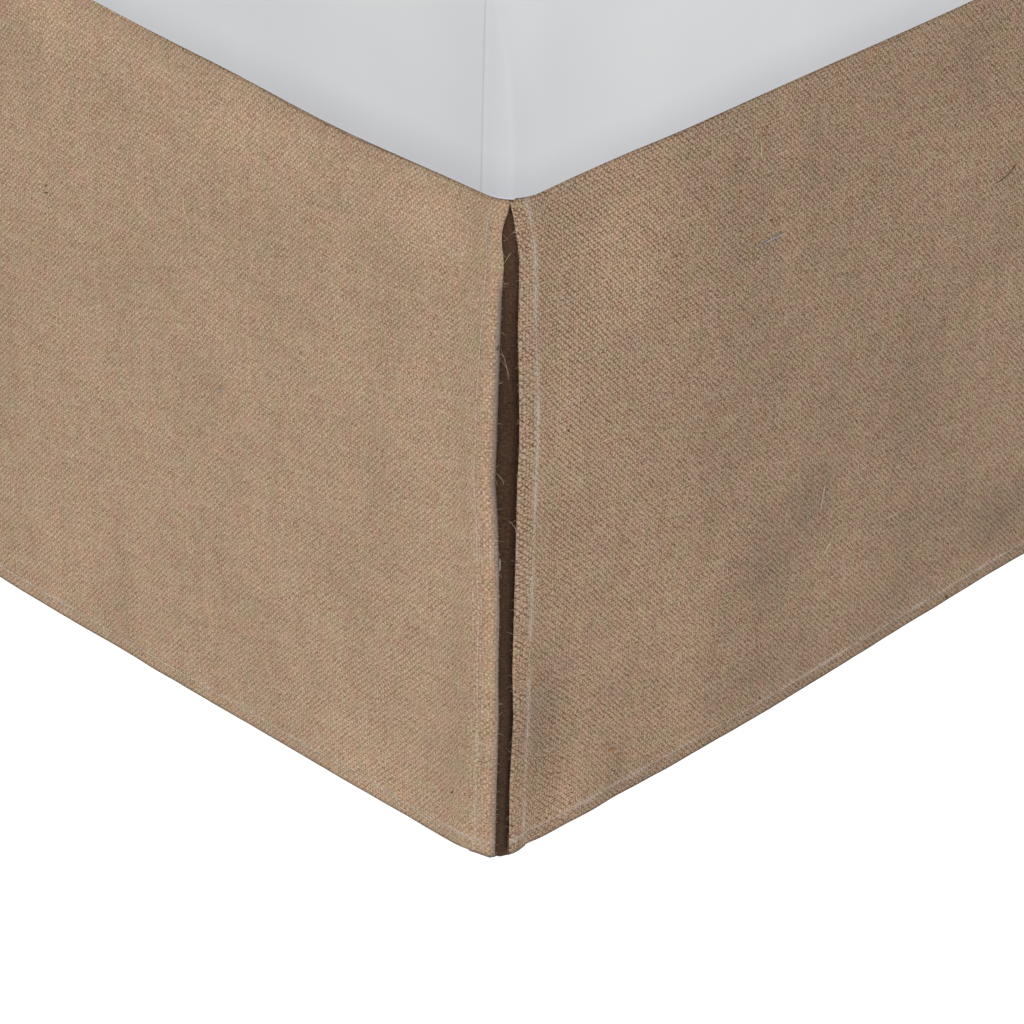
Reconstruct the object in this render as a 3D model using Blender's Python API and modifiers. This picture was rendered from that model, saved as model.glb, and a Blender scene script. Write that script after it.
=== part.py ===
"""Bed skirt of plain-woven burlap on the bed that it hangs from.

Three flat drop panels hang from the edge of a sheet that lies between the base and the mattress.
They meet at two split corners, with a loose insert of the same cloth behind each split.
Metres, +Z up. The foot of the bed faces -Y, and the head end, towards +Y, has no drop.
"""

import math

import bmesh
import bpy
from mathutils import Vector

MM = 0.001

# Driving dimensions
TOP_WIDTH = 1.524  # across the skirt at its top fold, for a 60 inch bed
TOP_LENGTH = 2.032  # from the foot fold to the open head end, for an 80 inch bed
DROP = 0.406  # from the top fold down to the hem
FLOOR_GAP = 0.006  # from the hem down to the floor
SKIRT_TOP = FLOOR_GAP + DROP
CLOTH = 1.5 * MM  # thickness of a burlap panel with its hems pressed
CORNER_RADIUS = 18 * MM  # plan radius of the cloth's outer face at the foot corners
CORNER_ARC = CORNER_RADIUS * math.pi / 2  # length of cloth that goes round a corner
SEAM_GAP = 0.3 * MM  # between pieces that touch
TURN_IN = 15 * MM  # depth of the seam allowance that lies on the base
FOLD_RADIUS = 3 * MM  # outer radius of the top fold
FALL = 6 * MM  # how far the panels stand out below the fold, over the inserts
FALL_START = 12 * MM  # depth below the fold at which they begin to stand out
FALL_END = 130 * MM  # depth at which they stand out in full

INSERT_WING = 0.12  # from the middle of the corner to each end of an insert
INSERT_TOP = 6 * MM  # depth below the fold at which an insert is caught in the seam
INSERT_INSET = CLOTH + SEAM_GAP  # its outer face, behind the panels' outer face
INSERT_ARC = CORNER_ARC - INSERT_INSET * math.pi / 2

DECK_INSET = TURN_IN + SEAM_GAP
BASE_INSET = 7.3 * MM  # the base's faces, behind the panels' outer face
BASE_EDGE = 2.5 * MM
LEG_HEIGHT = 0.18
LEG_TOP_RADIUS = 0.028
LEG_FOOT_RADIUS = 0.022
LEG_INSET = 0.07  # from the base's faces in to a leg's centre line
MATTRESS_PROUD = 2 * MM  # its faces stand this far over the fold
MATTRESS_DEPTH = 0.28
MATTRESS_CORNER = 22 * MM
MATTRESS_EDGE = 8 * MM

# Section down a panel: how far each row lies below the top of the fold, and in from its face
PANEL_SECTION = (
    {"down": 0.0, "inset": TURN_IN},
    {"down": 0.0, "inset": FOLD_RADIUS},
    {"down": 0.9 * MM, "inset": 0.9 * MM},
    {"down": FOLD_RADIUS, "inset": 0.0},
    {"down": 12 * MM, "inset": 0.0},
    {"down": 34 * MM, "inset": 0.0},
    {"down": 75 * MM, "inset": 0.0},
    {"down": 130 * MM, "inset": 0.0},
    {"down": 200 * MM, "inset": 0.0},
    {"down": 270 * MM, "inset": 0.0},
    {"down": 340 * MM, "inset": 0.0},
    {"down": DROP, "inset": 0.0},
)

# The split at a foot corner: where the two hemmed edges stand, as lengths round the corner
# from its middle, onto the foot panel (minus) and onto the side panel (plus), in millimetres
SPLIT = (
    {"down": 0.0, "foot": -1.8, "side": -1.0},
    {"down": 7.0, "foot": -2.2, "side": -0.7},
    {"down": 20.0, "foot": -4.4, "side": 1.6},
    {"down": 34.0, "foot": -3.3, "side": 3.4},
    {"down": 100.0, "foot": -3.0, "side": 4.0},
    {"down": 150.0, "foot": -2.7, "side": 5.2},
    {"down": 205.0, "foot": -1.2, "side": 5.7},
    {"down": 270.0, "foot": 0.7, "side": 6.1},
    {"down": 340.0, "foot": 1.8, "side": 7.0},
    {"down": 406.0, "foot": 2.3, "side": 8.0},
)

# Soft folds of the hanging cloth. place and reach are metres along a panel from the middle of
# its corner; top, middle and hem are how far the fold stands out there (plus) or in (minus), in mm
FOOT_FOLDS = (
    {"place": 0.045, "reach": 0.018, "top": 0.0, "middle": -0.4, "hem": -1.6},
    {"place": 0.13, "reach": 0.070, "top": 1.2, "middle": 0.4, "hem": 0.8},
    {"place": 0.21, "reach": 0.040, "top": 0.2, "middle": -0.9, "hem": 0.4},
    {"place": 0.30, "reach": 0.035, "top": -1.6, "middle": -0.8, "hem": -1.6},
    {"place": 0.42, "reach": 0.050, "top": -0.6, "middle": 1.6, "hem": 2.2},
    {"place": 0.60, "reach": 0.090, "top": 0.6, "middle": -1.2, "hem": -1.4},
    {"place": 0.79, "reach": 0.080, "top": -0.5, "middle": 1.4, "hem": 2.0},
    {"place": 1.00, "reach": 0.095, "top": 0.5, "middle": -1.0, "hem": -1.7},
    {"place": 1.22, "reach": 0.070, "top": -0.4, "middle": 1.2, "hem": 1.8},
    {"place": 1.38, "reach": 0.050, "top": 0.3, "middle": -0.8, "hem": -1.2},
    {"place": 1.47, "reach": 0.022, "top": 0.0, "middle": 0.5, "hem": 1.5},
)
RIGHT_FOLDS = (
    {"place": 0.010, "reach": 0.010, "top": 0.0, "middle": 0.4, "hem": 1.0},
    {"place": 0.034, "reach": 0.014, "top": 0.0, "middle": -0.5, "hem": -1.5},
    {"place": 0.062, "reach": 0.014, "top": 0.2, "middle": 0.2, "hem": 1.2},
    {"place": 0.130, "reach": 0.040, "top": 0.9, "middle": 0.5, "hem": 0.2},
    {"place": 0.200, "reach": 0.055, "top": -0.4, "middle": 1.6, "hem": 2.4},
    {"place": 0.270, "reach": 0.040, "top": -0.5, "middle": -1.4, "hem": 0.2},
    {"place": 0.350, "reach": 0.045, "top": -0.6, "middle": -0.3, "hem": -1.2},
    {"place": 0.440, "reach": 0.060, "top": 0.3, "middle": -0.8, "hem": -2.2},
    {"place": 0.620, "reach": 0.090, "top": -0.3, "middle": 1.5, "hem": 2.2},
    {"place": 0.860, "reach": 0.110, "top": 0.4, "middle": -1.3, "hem": -1.8},
    {"place": 1.110, "reach": 0.120, "top": -0.4, "middle": 1.2, "hem": 2.3},
    {"place": 1.370, "reach": 0.120, "top": 0.5, "middle": -1.1, "hem": -1.9},
    {"place": 1.630, "reach": 0.130, "top": -0.4, "middle": 1.4, "hem": 2.1},
    {"place": 1.880, "reach": 0.120, "top": 0.2, "middle": -1.0, "hem": -1.5},
)
LEFT_FOLDS = (
    {"place": 0.012, "reach": 0.011, "top": 0.0, "middle": 0.5, "hem": 1.2},
    {"place": 0.045, "reach": 0.018, "top": 0.0, "middle": -0.6, "hem": -1.3},
    {"place": 0.110, "reach": 0.035, "top": 0.6, "middle": 0.8, "hem": 1.4},
    {"place": 0.230, "reach": 0.060, "top": -0.5, "middle": -1.2, "hem": -1.6},
    {"place": 0.380, "reach": 0.070, "top": 0.4, "middle": 1.3, "hem": 2.1},
    {"place": 0.570, "reach": 0.090, "top": -0.4, "middle": -1.1, "hem": -2.0},
    {"place": 0.800, "reach": 0.110, "top": 0.3, "middle": 1.5, "hem": 1.9},
    {"place": 1.060, "reach": 0.120, "top": -0.3, "middle": -1.2, "hem": -1.7},
    {"place": 1.330, "reach": 0.130, "top": 0.4, "middle": 1.2, "hem": 2.3},
    {"place": 1.600, "reach": 0.120, "top": -0.4, "middle": -1.4, "hem": -1.6},
    {"place": 1.850, "reach": 0.110, "top": 0.3, "middle": 1.0, "hem": 1.6},
)

# How the hems rise (plus) or dip (minus) along each panel, in millimetres
FOOT_HEM = (
    {"place": 0.03, "reach": 0.070, "rise": 1.4},
    {"place": 0.38, "reach": 0.080, "rise": -1.0},
    {"place": 0.90, "reach": 0.150, "rise": 0.9},
    {"place": 1.30, "reach": 0.120, "rise": -0.8},
)
SIDE_HEM = (
    {"place": 0.20, "reach": 0.070, "rise": -0.9},
    {"place": 0.44, "reach": 0.080, "rise": 1.0},
    {"place": 0.95, "reach": 0.160, "rise": -0.8},
    {"place": 1.50, "reach": 0.160, "rise": 0.9},
)

# Rows from top to bottom and columns from end to end of each faceted sheet
FOOT_COLUMNS = 54
SIDE_COLUMNS = 50
CORNER_CROWDING = 1.7  # above 1, columns stand closer near a corner
INSERT_COLUMNS = 16
INSERT_ROWS = 6


def smooth_step(low, high, value):
    """0 below low, 1 above high, and an S curve between."""
    share = min(1.0, max(0.0, (value - low) / (high - low)))
    return share * share * (3 - 2 * share)


def read_table(table, key, down):
    """The value of a column of SPLIT at a depth below the fold, in metres."""
    depth = down / MM
    for upper, lower in zip(table, table[1:]):
        if depth <= lower["down"]:
            share = (depth - upper["down"]) / (lower["down"] - upper["down"])
            return (upper[key] + (lower[key] - upper[key]) * share) * MM
    return table[-1][key] * MM


def bell(row, place):
    """How much of a fold or a hem wave is felt at a place along the cloth."""
    return math.exp(-(((place - row["place"]) / row["reach"]) ** 2))


def stand_out(folds, place, down, inset=0.0):
    """How far a panel's face stands outside the plane of its top fold. The seam allowance on
    the base lies ever stiller towards its edge."""
    share = down / DROP
    still = 1 - inset / TURN_IN
    total = FALL * smooth_step(FALL_START, FALL_END, down)
    for fold in folds:
        if share < 0.5:
            height = fold["top"] + (fold["middle"] - fold["top"]) * share * 2
        else:
            height = fold["middle"] + (fold["hem"] - fold["middle"]) * (share * 2 - 1)
        total += height * MM * still * bell(fold, place)
    return total


def hem_rise(waves, place, down):
    """How far the waves of the hem lift a point, more and more towards the hem."""
    lift = sum(wave["rise"] * MM * bell(wave, place) for wave in waves)
    return lift * (down / DROP) ** 2


def round_corner(place, out):
    """Plan position of cloth at a place along a panel: along from the square corner, and out."""
    past = CORNER_ARC / 2 - place
    if past <= 0:
        return CORNER_RADIUS - past, out
    turn = past / CORNER_RADIUS
    radius = CORNER_RADIUS + out
    return CORNER_RADIUS - radius * math.sin(turn), radius * math.cos(turn) - CORNER_RADIUS


def split_edge(key, row):
    """Where a panel's hemmed edge stands. The split closes to a seam gap over the turned top."""
    edge = read_table(SPLIT, key, row["down"])
    if row["inset"] > FOLD_RADIUS:
        middle = (SPLIT[0]["foot"] + SPLIT[0]["side"]) / 2 * MM
        half_gap = SEAM_GAP * CORNER_RADIUS / (CORNER_RADIUS - row["inset"])
        edge = middle + math.copysign(half_gap, edge - middle)
    return edge


FOOT_RUN = TOP_WIDTH - 2 * CORNER_RADIUS + CORNER_ARC
SIDE_RUN = TOP_LENGTH - CORNER_RADIUS + CORNER_ARC / 2
FOOT_REACH = max(
    stand_out(FOOT_FOLDS, FOOT_RUN * step / FOOT_COLUMNS, DROP) for step in range(FOOT_COLUMNS)
)
FOOT_Y = -TOP_LENGTH / 2 + FOOT_REACH / 2  # centres the whole object on the origin
HEAD_Y = FOOT_Y + TOP_LENGTH


def foot_point(share, row):
    """A point of the foot panel, from its left end to its right end."""
    edge = -split_edge("foot", row)
    spread = 2 * share - 1
    crowded = math.copysign(1 - (1 - abs(spread)) ** CORNER_CROWDING, spread)
    place = FOOT_RUN / 2 - crowded * (FOOT_RUN / 2 - edge)
    out = stand_out(FOOT_FOLDS, place, row["down"], row["inset"]) - row["inset"]
    height = SKIRT_TOP - row["down"] + hem_rise(FOOT_HEM, place, row["down"])
    if place < FOOT_RUN / 2:
        along, out = round_corner(place, out)
        return Vector((TOP_WIDTH / 2 - along, FOOT_Y - out, height))
    along, out = round_corner(FOOT_RUN - place, out)
    return Vector((along - TOP_WIDTH / 2, FOOT_Y - out, height))


def side_point(side, folds, share, row):
    """A point of a side panel; side is 1 at +X and -1 at -X, share runs left to right seen
    from outside."""
    edge = split_edge("side", row)
    from_corner = share if side > 0 else 1 - share
    place = edge + (SIDE_RUN - edge) * from_corner**CORNER_CROWDING
    out = stand_out(folds, place, row["down"], row["inset"]) - row["inset"]
    height = SKIRT_TOP - row["down"] + hem_rise(SIDE_HEM, place, row["down"])
    along, out = round_corner(place, out)
    return Vector((side * (TOP_WIDTH / 2 + out), FOOT_Y + along, height))


def insert_point(side, share, down_share):
    """A point of a corner insert, which hangs close to the base behind the split."""
    down = INSERT_TOP + (DROP - INSERT_TOP) * down_share
    around = (share - 0.5) * 2 * INSERT_WING
    sway = 0.5 * MM * math.sin(around / INSERT_WING * 4) * down_share
    along, out = round_corner(CORNER_ARC / 2 - INSERT_ARC / 2 + abs(around), sway - INSERT_INSET)
    if around * side > 0:
        return Vector((side * (TOP_WIDTH / 2 + out), FOOT_Y + along, SKIRT_TOP - down))
    return Vector((side * (TOP_WIDTH / 2 - along), FOOT_Y - out, SKIRT_TOP - down))


def material(name, red, green, blue, roughness):
    """A plain finish; the colour is given as it looks on a screen, 0 to 255."""
    finish = bpy.data.materials.new(name)
    finish.use_nodes = True
    shader = finish.node_tree.nodes["Principled BSDF"]
    colour = [(value / 255) ** 2.2 for value in (red, green, blue)]
    shader.inputs["Base Color"].default_value = (*colour, 1)
    shader.inputs["Roughness"].default_value = roughness
    shader.inputs["Metallic"].default_value = 0.0
    return finish


def add_part(name, mesh_maker, finish):
    """Puts a finished bmesh into the scene as one named part."""
    mesh = bpy.data.meshes.new(name)
    mesh_maker.to_mesh(mesh)
    mesh_maker.free()
    part = bpy.data.objects.new(name, mesh)
    part.data.materials.append(finish)
    parts.objects.link(part)
    return part


def add_sheet(name, columns, rows, place, finish):
    """One piece of cloth: a grid laid on the surface place(share, row number), given thickness."""
    maker = bmesh.new()
    bmesh.ops.create_grid(maker, x_segments=columns, y_segments=rows, size=0.5)
    for vert in maker.verts:
        row = round((0.5 - vert.co.y) * rows)
        vert.co = place(vert.co.x + 0.5, row)
    sheet = add_part(name, maker, finish)
    solidify = sheet.modifiers.new("Thickness", "SOLIDIFY")
    solidify.thickness = CLOTH
    solidify.offset = -1.0
    solidify.use_even_offset = True
    return sheet


def add_block(name, low, high, corner_radius, edge_radius, finish):
    """A block between two corners, its upright corners rounded, then its other edges eased."""
    maker = bmesh.new()
    bmesh.ops.create_cube(maker, size=1.0)
    size = high - low
    bmesh.ops.scale(maker, vec=size, verts=maker.verts)
    bmesh.ops.translate(maker, vec=(low + high) / 2, verts=maker.verts)
    upright = [e for e in maker.edges if abs(e.verts[0].co.z - e.verts[1].co.z) > size.z / 2]
    bmesh.ops.bevel(
        maker, geom=upright, offset=corner_radius, segments=6, profile=0.5, affect="EDGES"
    )
    block = add_part(name, maker, finish)
    if edge_radius:
        ease = block.modifiers.new("Eased edges", "BEVEL")
        ease.width = edge_radius
        ease.segments = 3
        ease.limit_method = "ANGLE"
        ease.angle_limit = math.radians(50)
    return block


def add_leg(name, x, y, finish):
    """A plain tapered leg between the floor and the base."""
    maker = bmesh.new()
    bmesh.ops.create_cone(
        maker,
        cap_ends=True,
        segments=24,
        radius1=LEG_FOOT_RADIUS,
        radius2=LEG_TOP_RADIUS,
        depth=LEG_HEIGHT - SEAM_GAP,
    )
    leg = add_part(name, maker, finish)
    leg.location = (x, y, (LEG_HEIGHT - SEAM_GAP) / 2)
    leg.data.shade_smooth()
    leg.data.set_sharp_from_angle(angle=math.radians(40))
    return leg


for old in list(bpy.data.objects):
    bpy.data.objects.remove(old, do_unlink=True)
parts = bpy.data.collections.new("bed_skirt")
bpy.context.scene.collection.children.link(parts)

burlap = material("burlap", 160, 136, 113, 0.92)
cotton = material("deck_cotton", 226, 224, 218, 0.85)
ticking = material("mattress_cover", 226, 227, 229, 0.8)
base_cover = material("base_cover", 205, 200, 190, 0.9)
leg_wood = material("leg_wood", 92, 66, 46, 0.5)

# The base and its legs
deck_bottom = SKIRT_TOP - CLOTH
base_low = Vector((-TOP_WIDTH / 2 + BASE_INSET, FOOT_Y + BASE_INSET, LEG_HEIGHT))
base_high = Vector((TOP_WIDTH / 2 - BASE_INSET, HEAD_Y, deck_bottom - SEAM_GAP))
base_corner = CORNER_RADIUS - BASE_INSET
add_block("base", base_low, base_high, base_corner, BASE_EDGE, base_cover)
leg_x = base_high.x - LEG_INSET
leg_rows = {
    "foot": base_low.y + LEG_INSET,
    "middle": (base_low.y + base_high.y) / 2,
    "head": base_high.y - LEG_INSET,
}
for row_name, leg_y in leg_rows.items():
    add_leg(f"leg_{row_name}_left", -leg_x, leg_y, leg_wood)
    add_leg(f"leg_{row_name}_right", leg_x, leg_y, leg_wood)

# The sheet between base and mattress, to which the skirt is sewn
deck_low = Vector((-TOP_WIDTH / 2 + DECK_INSET, FOOT_Y + DECK_INSET, deck_bottom))
deck_high = Vector((TOP_WIDTH / 2 - DECK_INSET, HEAD_Y, SKIRT_TOP))
add_block("deck", deck_low, deck_high, CORNER_RADIUS - DECK_INSET, 0.0, cotton)

# The inserts behind the split corners
for insert_name, corner_side in (("insert_left", -1), ("insert_right", 1)):
    add_sheet(
        insert_name,
        INSERT_COLUMNS,
        INSERT_ROWS,
        lambda share, row, side=corner_side: insert_point(side, share, row / INSERT_ROWS),
        burlap,
    )

# The three drop panels
panel_rows = len(PANEL_SECTION) - 1
add_sheet(
    "panel_foot",
    FOOT_COLUMNS,
    panel_rows,
    lambda share, row: foot_point(share, PANEL_SECTION[row]),
    burlap,
)
for panel_name, panel_side, panel_folds in (
    ("panel_left", -1, LEFT_FOLDS),
    ("panel_right", 1, RIGHT_FOLDS),
):
    add_sheet(
        panel_name,
        SIDE_COLUMNS,
        panel_rows,
        lambda share, row, side=panel_side, folds=panel_folds: side_point(
            side, folds, share, PANEL_SECTION[row]
        ),
        burlap,
    )

# The mattress
mattress_low = Vector(
    (-TOP_WIDTH / 2 - MATTRESS_PROUD, FOOT_Y - MATTRESS_PROUD, SKIRT_TOP + SEAM_GAP)
)
mattress_high = Vector(
    (TOP_WIDTH / 2 + MATTRESS_PROUD, HEAD_Y, SKIRT_TOP + SEAM_GAP + MATTRESS_DEPTH)
)
add_block("mattress", mattress_low, mattress_high, MATTRESS_CORNER, MATTRESS_EDGE, ticking)
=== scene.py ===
"""Looks of a plain-woven burlap bed skirt on its bed: three drop panels with turned and stitched hems,
split corners backed by inserts, the deck sheet they are sewn to, the mattress and the covered base."""

import math
import random

import bmesh
import bpy
import numpy as np
from mathutils import Matrix, Vector, noise


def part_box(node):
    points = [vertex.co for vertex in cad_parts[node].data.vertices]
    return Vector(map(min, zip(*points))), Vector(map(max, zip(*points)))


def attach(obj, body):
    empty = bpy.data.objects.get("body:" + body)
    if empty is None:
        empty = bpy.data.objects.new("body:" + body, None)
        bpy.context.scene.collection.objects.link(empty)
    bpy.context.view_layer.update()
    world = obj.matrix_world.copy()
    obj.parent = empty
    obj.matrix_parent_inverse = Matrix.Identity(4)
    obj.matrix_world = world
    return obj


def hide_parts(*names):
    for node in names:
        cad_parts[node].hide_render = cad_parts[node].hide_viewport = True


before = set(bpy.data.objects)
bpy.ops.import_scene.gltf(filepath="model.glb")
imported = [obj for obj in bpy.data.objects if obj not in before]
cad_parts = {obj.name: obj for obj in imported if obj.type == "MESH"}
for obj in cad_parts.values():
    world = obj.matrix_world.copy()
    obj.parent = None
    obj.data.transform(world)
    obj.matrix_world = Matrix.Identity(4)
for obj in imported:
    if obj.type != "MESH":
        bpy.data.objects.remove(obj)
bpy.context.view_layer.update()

MM = 0.001

# ---------------------------------------------------------------------------------------------
# The legs. Plain tapered pegs of dark stained wood that carry the base; they keep their own
# shape from the frame and only get the grain, which runs down each leg.
# ---------------------------------------------------------------------------------------------


class Signal:
    """What comes out of one node of a finish. Arithmetic on signals adds Math nodes."""

    def __init__(self, tree, socket=None):
        self.tree = tree
        self.socket = socket

    def node(self, kind, sockets=None, **settings):
        """Adds a node: its settings first, then the values or the signals of its sockets."""
        made = self.tree.nodes.new("ShaderNode" + kind)
        for setting, value in settings.items():
            if setting == "stops":
                set_stops(made.color_ramp, value)
            else:
                setattr(made, setting, value)
        for name, value in (sockets or {}).items():
            feed(self.tree, find_socket(made.inputs, name), value)
        return Signal(self.tree, find_socket(made.outputs, 0))

    def pick(self, name):
        """Another output of the node that this signal comes from."""
        return Signal(self.tree, find_socket(self.socket.node.outputs, name))

    def math(self, operation, *values):
        """A Math node with this signal as its first value."""
        sockets = dict(enumerate((self, *values)))
        return self.node("Math", sockets, operation=operation)

    def __add__(self, other):
        return self.math("ADD", other)

    def __radd__(self, other):
        return self.math("ADD", other)

    def __sub__(self, other):
        return self.math("SUBTRACT", other)

    def __rsub__(self, other):
        return self.node("Math", {0: other, 1: self}, operation="SUBTRACT")

    def __mul__(self, other):
        return self.math("MULTIPLY", other)

    def __rmul__(self, other):
        return self.math("MULTIPLY", other)

    def __truediv__(self, other):
        return self.math("DIVIDE", other)

    def __pow__(self, other):
        return self.math("POWER", other)

    def __abs__(self):
        return self.math("ABSOLUTE")


def find_socket(sockets, name):
    """A socket in use, by its place in the list or by its name."""
    shown = [socket for socket in sockets if socket.enabled]
    if isinstance(name, int):
        return shown[name]
    return next(socket for socket in shown if socket.name == name)


def feed(tree, socket, value):
    """Gives a socket a plain value, or links a signal to it."""
    if isinstance(value, Signal):
        tree.links.new(value.socket, socket)
    else:
        socket.default_value = value


def set_stops(ramp, stops):
    """The stops of a colour ramp, each a place and a colour."""
    while len(ramp.elements) < len(stops):
        ramp.elements.new(0.5)
    for element, (place, colour) in zip(ramp.elements, stops):
        element.position = place
        element.color = colour


def screen(red, green, blue):
    """A colour given as it looks on a screen, 0 to 255."""
    return (*((value / 255) ** 2.2 for value in (red, green, blue)), 1.0)


def start_finish(name, roughness):
    """A material, the signal its nodes start from, and its shader."""
    finish = bpy.data.materials.new(name)
    finish.use_nodes = True
    shader = finish.node_tree.nodes["Principled BSDF"]
    shader.inputs["Roughness"].default_value = roughness
    return finish, Signal(finish.node_tree), shader


def step_up(signal, low, high):
    """0 below low, 1 above high, and an S curve between."""
    sockets = {"Value": signal, "From Min": low, "From Max": high}
    return signal.node("MapRange", sockets, interpolation_type="SMOOTHSTEP")


def blend(share, first, second, kind="MIX"):
    """Two colours mixed, or laid over each other, by a share; one of the three is a signal."""
    sockets = {"Factor": share, "A": first, "B": second}
    signal = next(value for value in sockets.values() if isinstance(value, Signal))
    return signal.node("Mix", sockets, data_type="RGBA", blend_type=kind)


def stretched_noise(coordinates, across, along, detail=2.0):
    """Noise whose grain has one number of features a metre across it and another along it."""
    scaled = coordinates.node(
        "VectorMath", {0: coordinates, 1: (across, along, 1.0)}, operation="MULTIPLY"
    )
    return scaled.node(
        "TexNoise", {"Vector": scaled, "Scale": 1.0, "Detail": detail}, noise_dimensions="2D"
    )


def wood():
    """Dark stained wood with its grain along Z and a satin varnish."""
    finish, start, shader = start_finish("stained_leg_wood", 0.45)
    place = start.node("TexCoord").pick("Object")
    scaled = place.node("VectorMath", {0: place, 1: (90, 90, 5)}, operation="MULTIPLY")
    grain = place.node("TexNoise", {"Vector": scaled, "Scale": 1.0, "Detail": 6.0})
    pores = place.node("TexNoise", {"Vector": scaled, "Scale": 9.0, "Detail": 2.0})
    tone = grain * 0.8 + pores * 0.2
    stops = ((0.3, screen(66, 44, 30)), (0.5, screen(98, 68, 46)), (0.7, screen(122, 88, 60)))
    colour = tone.node("ValToRGB", {"Fac": tone}, stops=stops)
    feed(start.tree, shader.inputs["Base Color"], colour)
    feed(start.tree, shader.inputs["Roughness"], 0.36 + 0.2 * pores)
    bump = tone.node("Bump", {"Height": tone, "Strength": 0.4, "Distance": 0.3 * MM})
    feed(start.tree, shader.inputs["Normal"], bump)
    return finish


leg_finish = wood()
for node_name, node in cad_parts.items():
    if node_name.startswith("leg_"):
        node.data.materials.clear()
        node.data.materials.append(leg_finish)

# ---------------------------------------------------------------------------------------------
# The base. A shallow box under a light woven cover, drawn over the edges, with a thin welt sewn
# round its top and bottom edges. It stands behind the skirt and shows at the head end.
# ---------------------------------------------------------------------------------------------

BASE_CORNER = 11 * MM
BASE_EDGE = 4 * MM
WELT_RADIUS = 2.2 * MM
WELT_DROP = 7 * MM  # from the base's top and bottom faces to the middle of each welt


def rounded_box(low, high, corner, edge, spacing, top_edge=None):
    """A closed box with rounded upright corners and edges, cut into a net fine enough to shape."""
    maker = bmesh.new()
    bmesh.ops.create_cube(maker, size=1.0)
    bmesh.ops.scale(maker, vec=high - low, verts=maker.verts)
    bmesh.ops.translate(maker, vec=(low + high) / 2, verts=maker.verts)
    tall = (high.z - low.z) / 2
    upright = [e for e in maker.edges if abs(e.verts[0].co.z - e.verts[1].co.z) > tall]
    round_off(maker, upright, corner, 8)
    for height, radius in ((low.z, edge), (high.z, top_edge or edge)):
        rim = [
            e
            for e in maker.edges
            if all(abs(v.co.z - height) < MM / 10 for v in e.verts) and e.calc_face_angle(0) > 1.0
        ]
        round_off(maker, rim, radius, 5)
    for axis in range(3):
        normal = Vector((axis == 0, axis == 1, axis == 2))
        at = low[axis] + spacing
        while at < high[axis] - spacing / 2:
            everything = maker.verts[:] + maker.edges[:] + maker.faces[:]
            bmesh.ops.bisect_plane(maker, geom=everything, plane_co=normal * at, plane_no=normal)
            at += spacing
    return maker


def round_off(maker, edges, radius, segments):
    """Rounds edges to a radius."""
    bmesh.ops.bevel(
        maker,
        geom=edges,
        offset=radius,
        segments=segments,
        profile=0.5,
        affect="EDGES",
        material=-1,
    )


def add_piece(name, maker, finish):
    """A finished bmesh as a piece of the object, riding on its one body."""
    mesh = bpy.data.meshes.new(name)
    maker.to_mesh(mesh)
    maker.free()
    mesh.shade_smooth()
    mesh.materials.append(finish)
    piece = bpy.data.objects.new(name, mesh)
    bpy.context.scene.collection.objects.link(piece)
    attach(piece, "root")
    return piece


def plain_cloth(name, colour, dark, threads, roughness, relief):
    """Fine plain cloth: small uneven threads across and down, and a slow drift of tone."""
    finish, start, shader = start_finish(name, roughness)
    place = start.node("TexCoord").pick("Object")
    split = place.node("SeparateXYZ", {"Vector": place})
    along = (split.pick("X") + split.pick("Y")) * (math.pi * threads)
    across = split.pick("Z") * (math.pi * threads)
    fuzz = place.node("TexNoise", {"Vector": place, "Scale": threads * 0.7, "Detail": 3.0})
    weave = abs((along + fuzz * 3.0).math("SINE")) * 0.5 + abs((across + fuzz * 3.0).math("SINE")) * 0.5
    drift = place.node("TexNoise", {"Vector": place, "Scale": 5.0, "Detail": 3.0})
    share = step_up(drift * 0.75 + fuzz * 0.25, 0.3, 0.7) * 0.7 + weave * 0.3
    feed(start.tree, shader.inputs["Base Color"], blend(share, screen(*dark), screen(*colour)))
    height = weave * 0.6 + fuzz * 0.4
    bump = height.node("Bump", {"Height": height, "Strength": 0.6, "Distance": relief})
    feed(start.tree, shader.inputs["Normal"], bump)
    return finish


base_low, base_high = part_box("base")
maker = rounded_box(base_low, base_high, BASE_CORNER, BASE_EDGE, 0.035)
for vert in maker.verts:
    height_share = (vert.co.z - base_low.z) / (base_high.z - base_low.z)
    slack = 0.8 * MM * noise.noise(vert.co * 6) * math.sin(math.pi * height_share)
    facing = Vector((vert.co.x / base_high.x, vert.co.y / base_high.y, 0))
    sides = Vector((round(facing.x**9), round(facing.y**9), 0))
    vert.co += sides * slack
cover_finish = plain_cloth("base_cover_cloth", (214, 209, 199), (204, 199, 188), 900, 0.9, 0.15 * MM)
base_piece = add_piece("covered_base", maker, cover_finish)
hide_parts("base")


def ring_path(low, high, corner, height, steps=8):
    """Points of a loop round a box, its corners turned on arcs."""
    points = []
    for turn, (x, y) in enumerate(
        ((high.x, high.y), (low.x, high.y), (low.x, low.y), (high.x, low.y))
    ):
        centre = Vector((x - math.copysign(corner, x), y - math.copysign(corner, y), height))
        for step in range(steps + 1):
            angle = (turn + step / steps) * math.pi / 2
            points.append(centre + corner * Vector((math.cos(angle), math.sin(angle), 0)))
    return points


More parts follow.
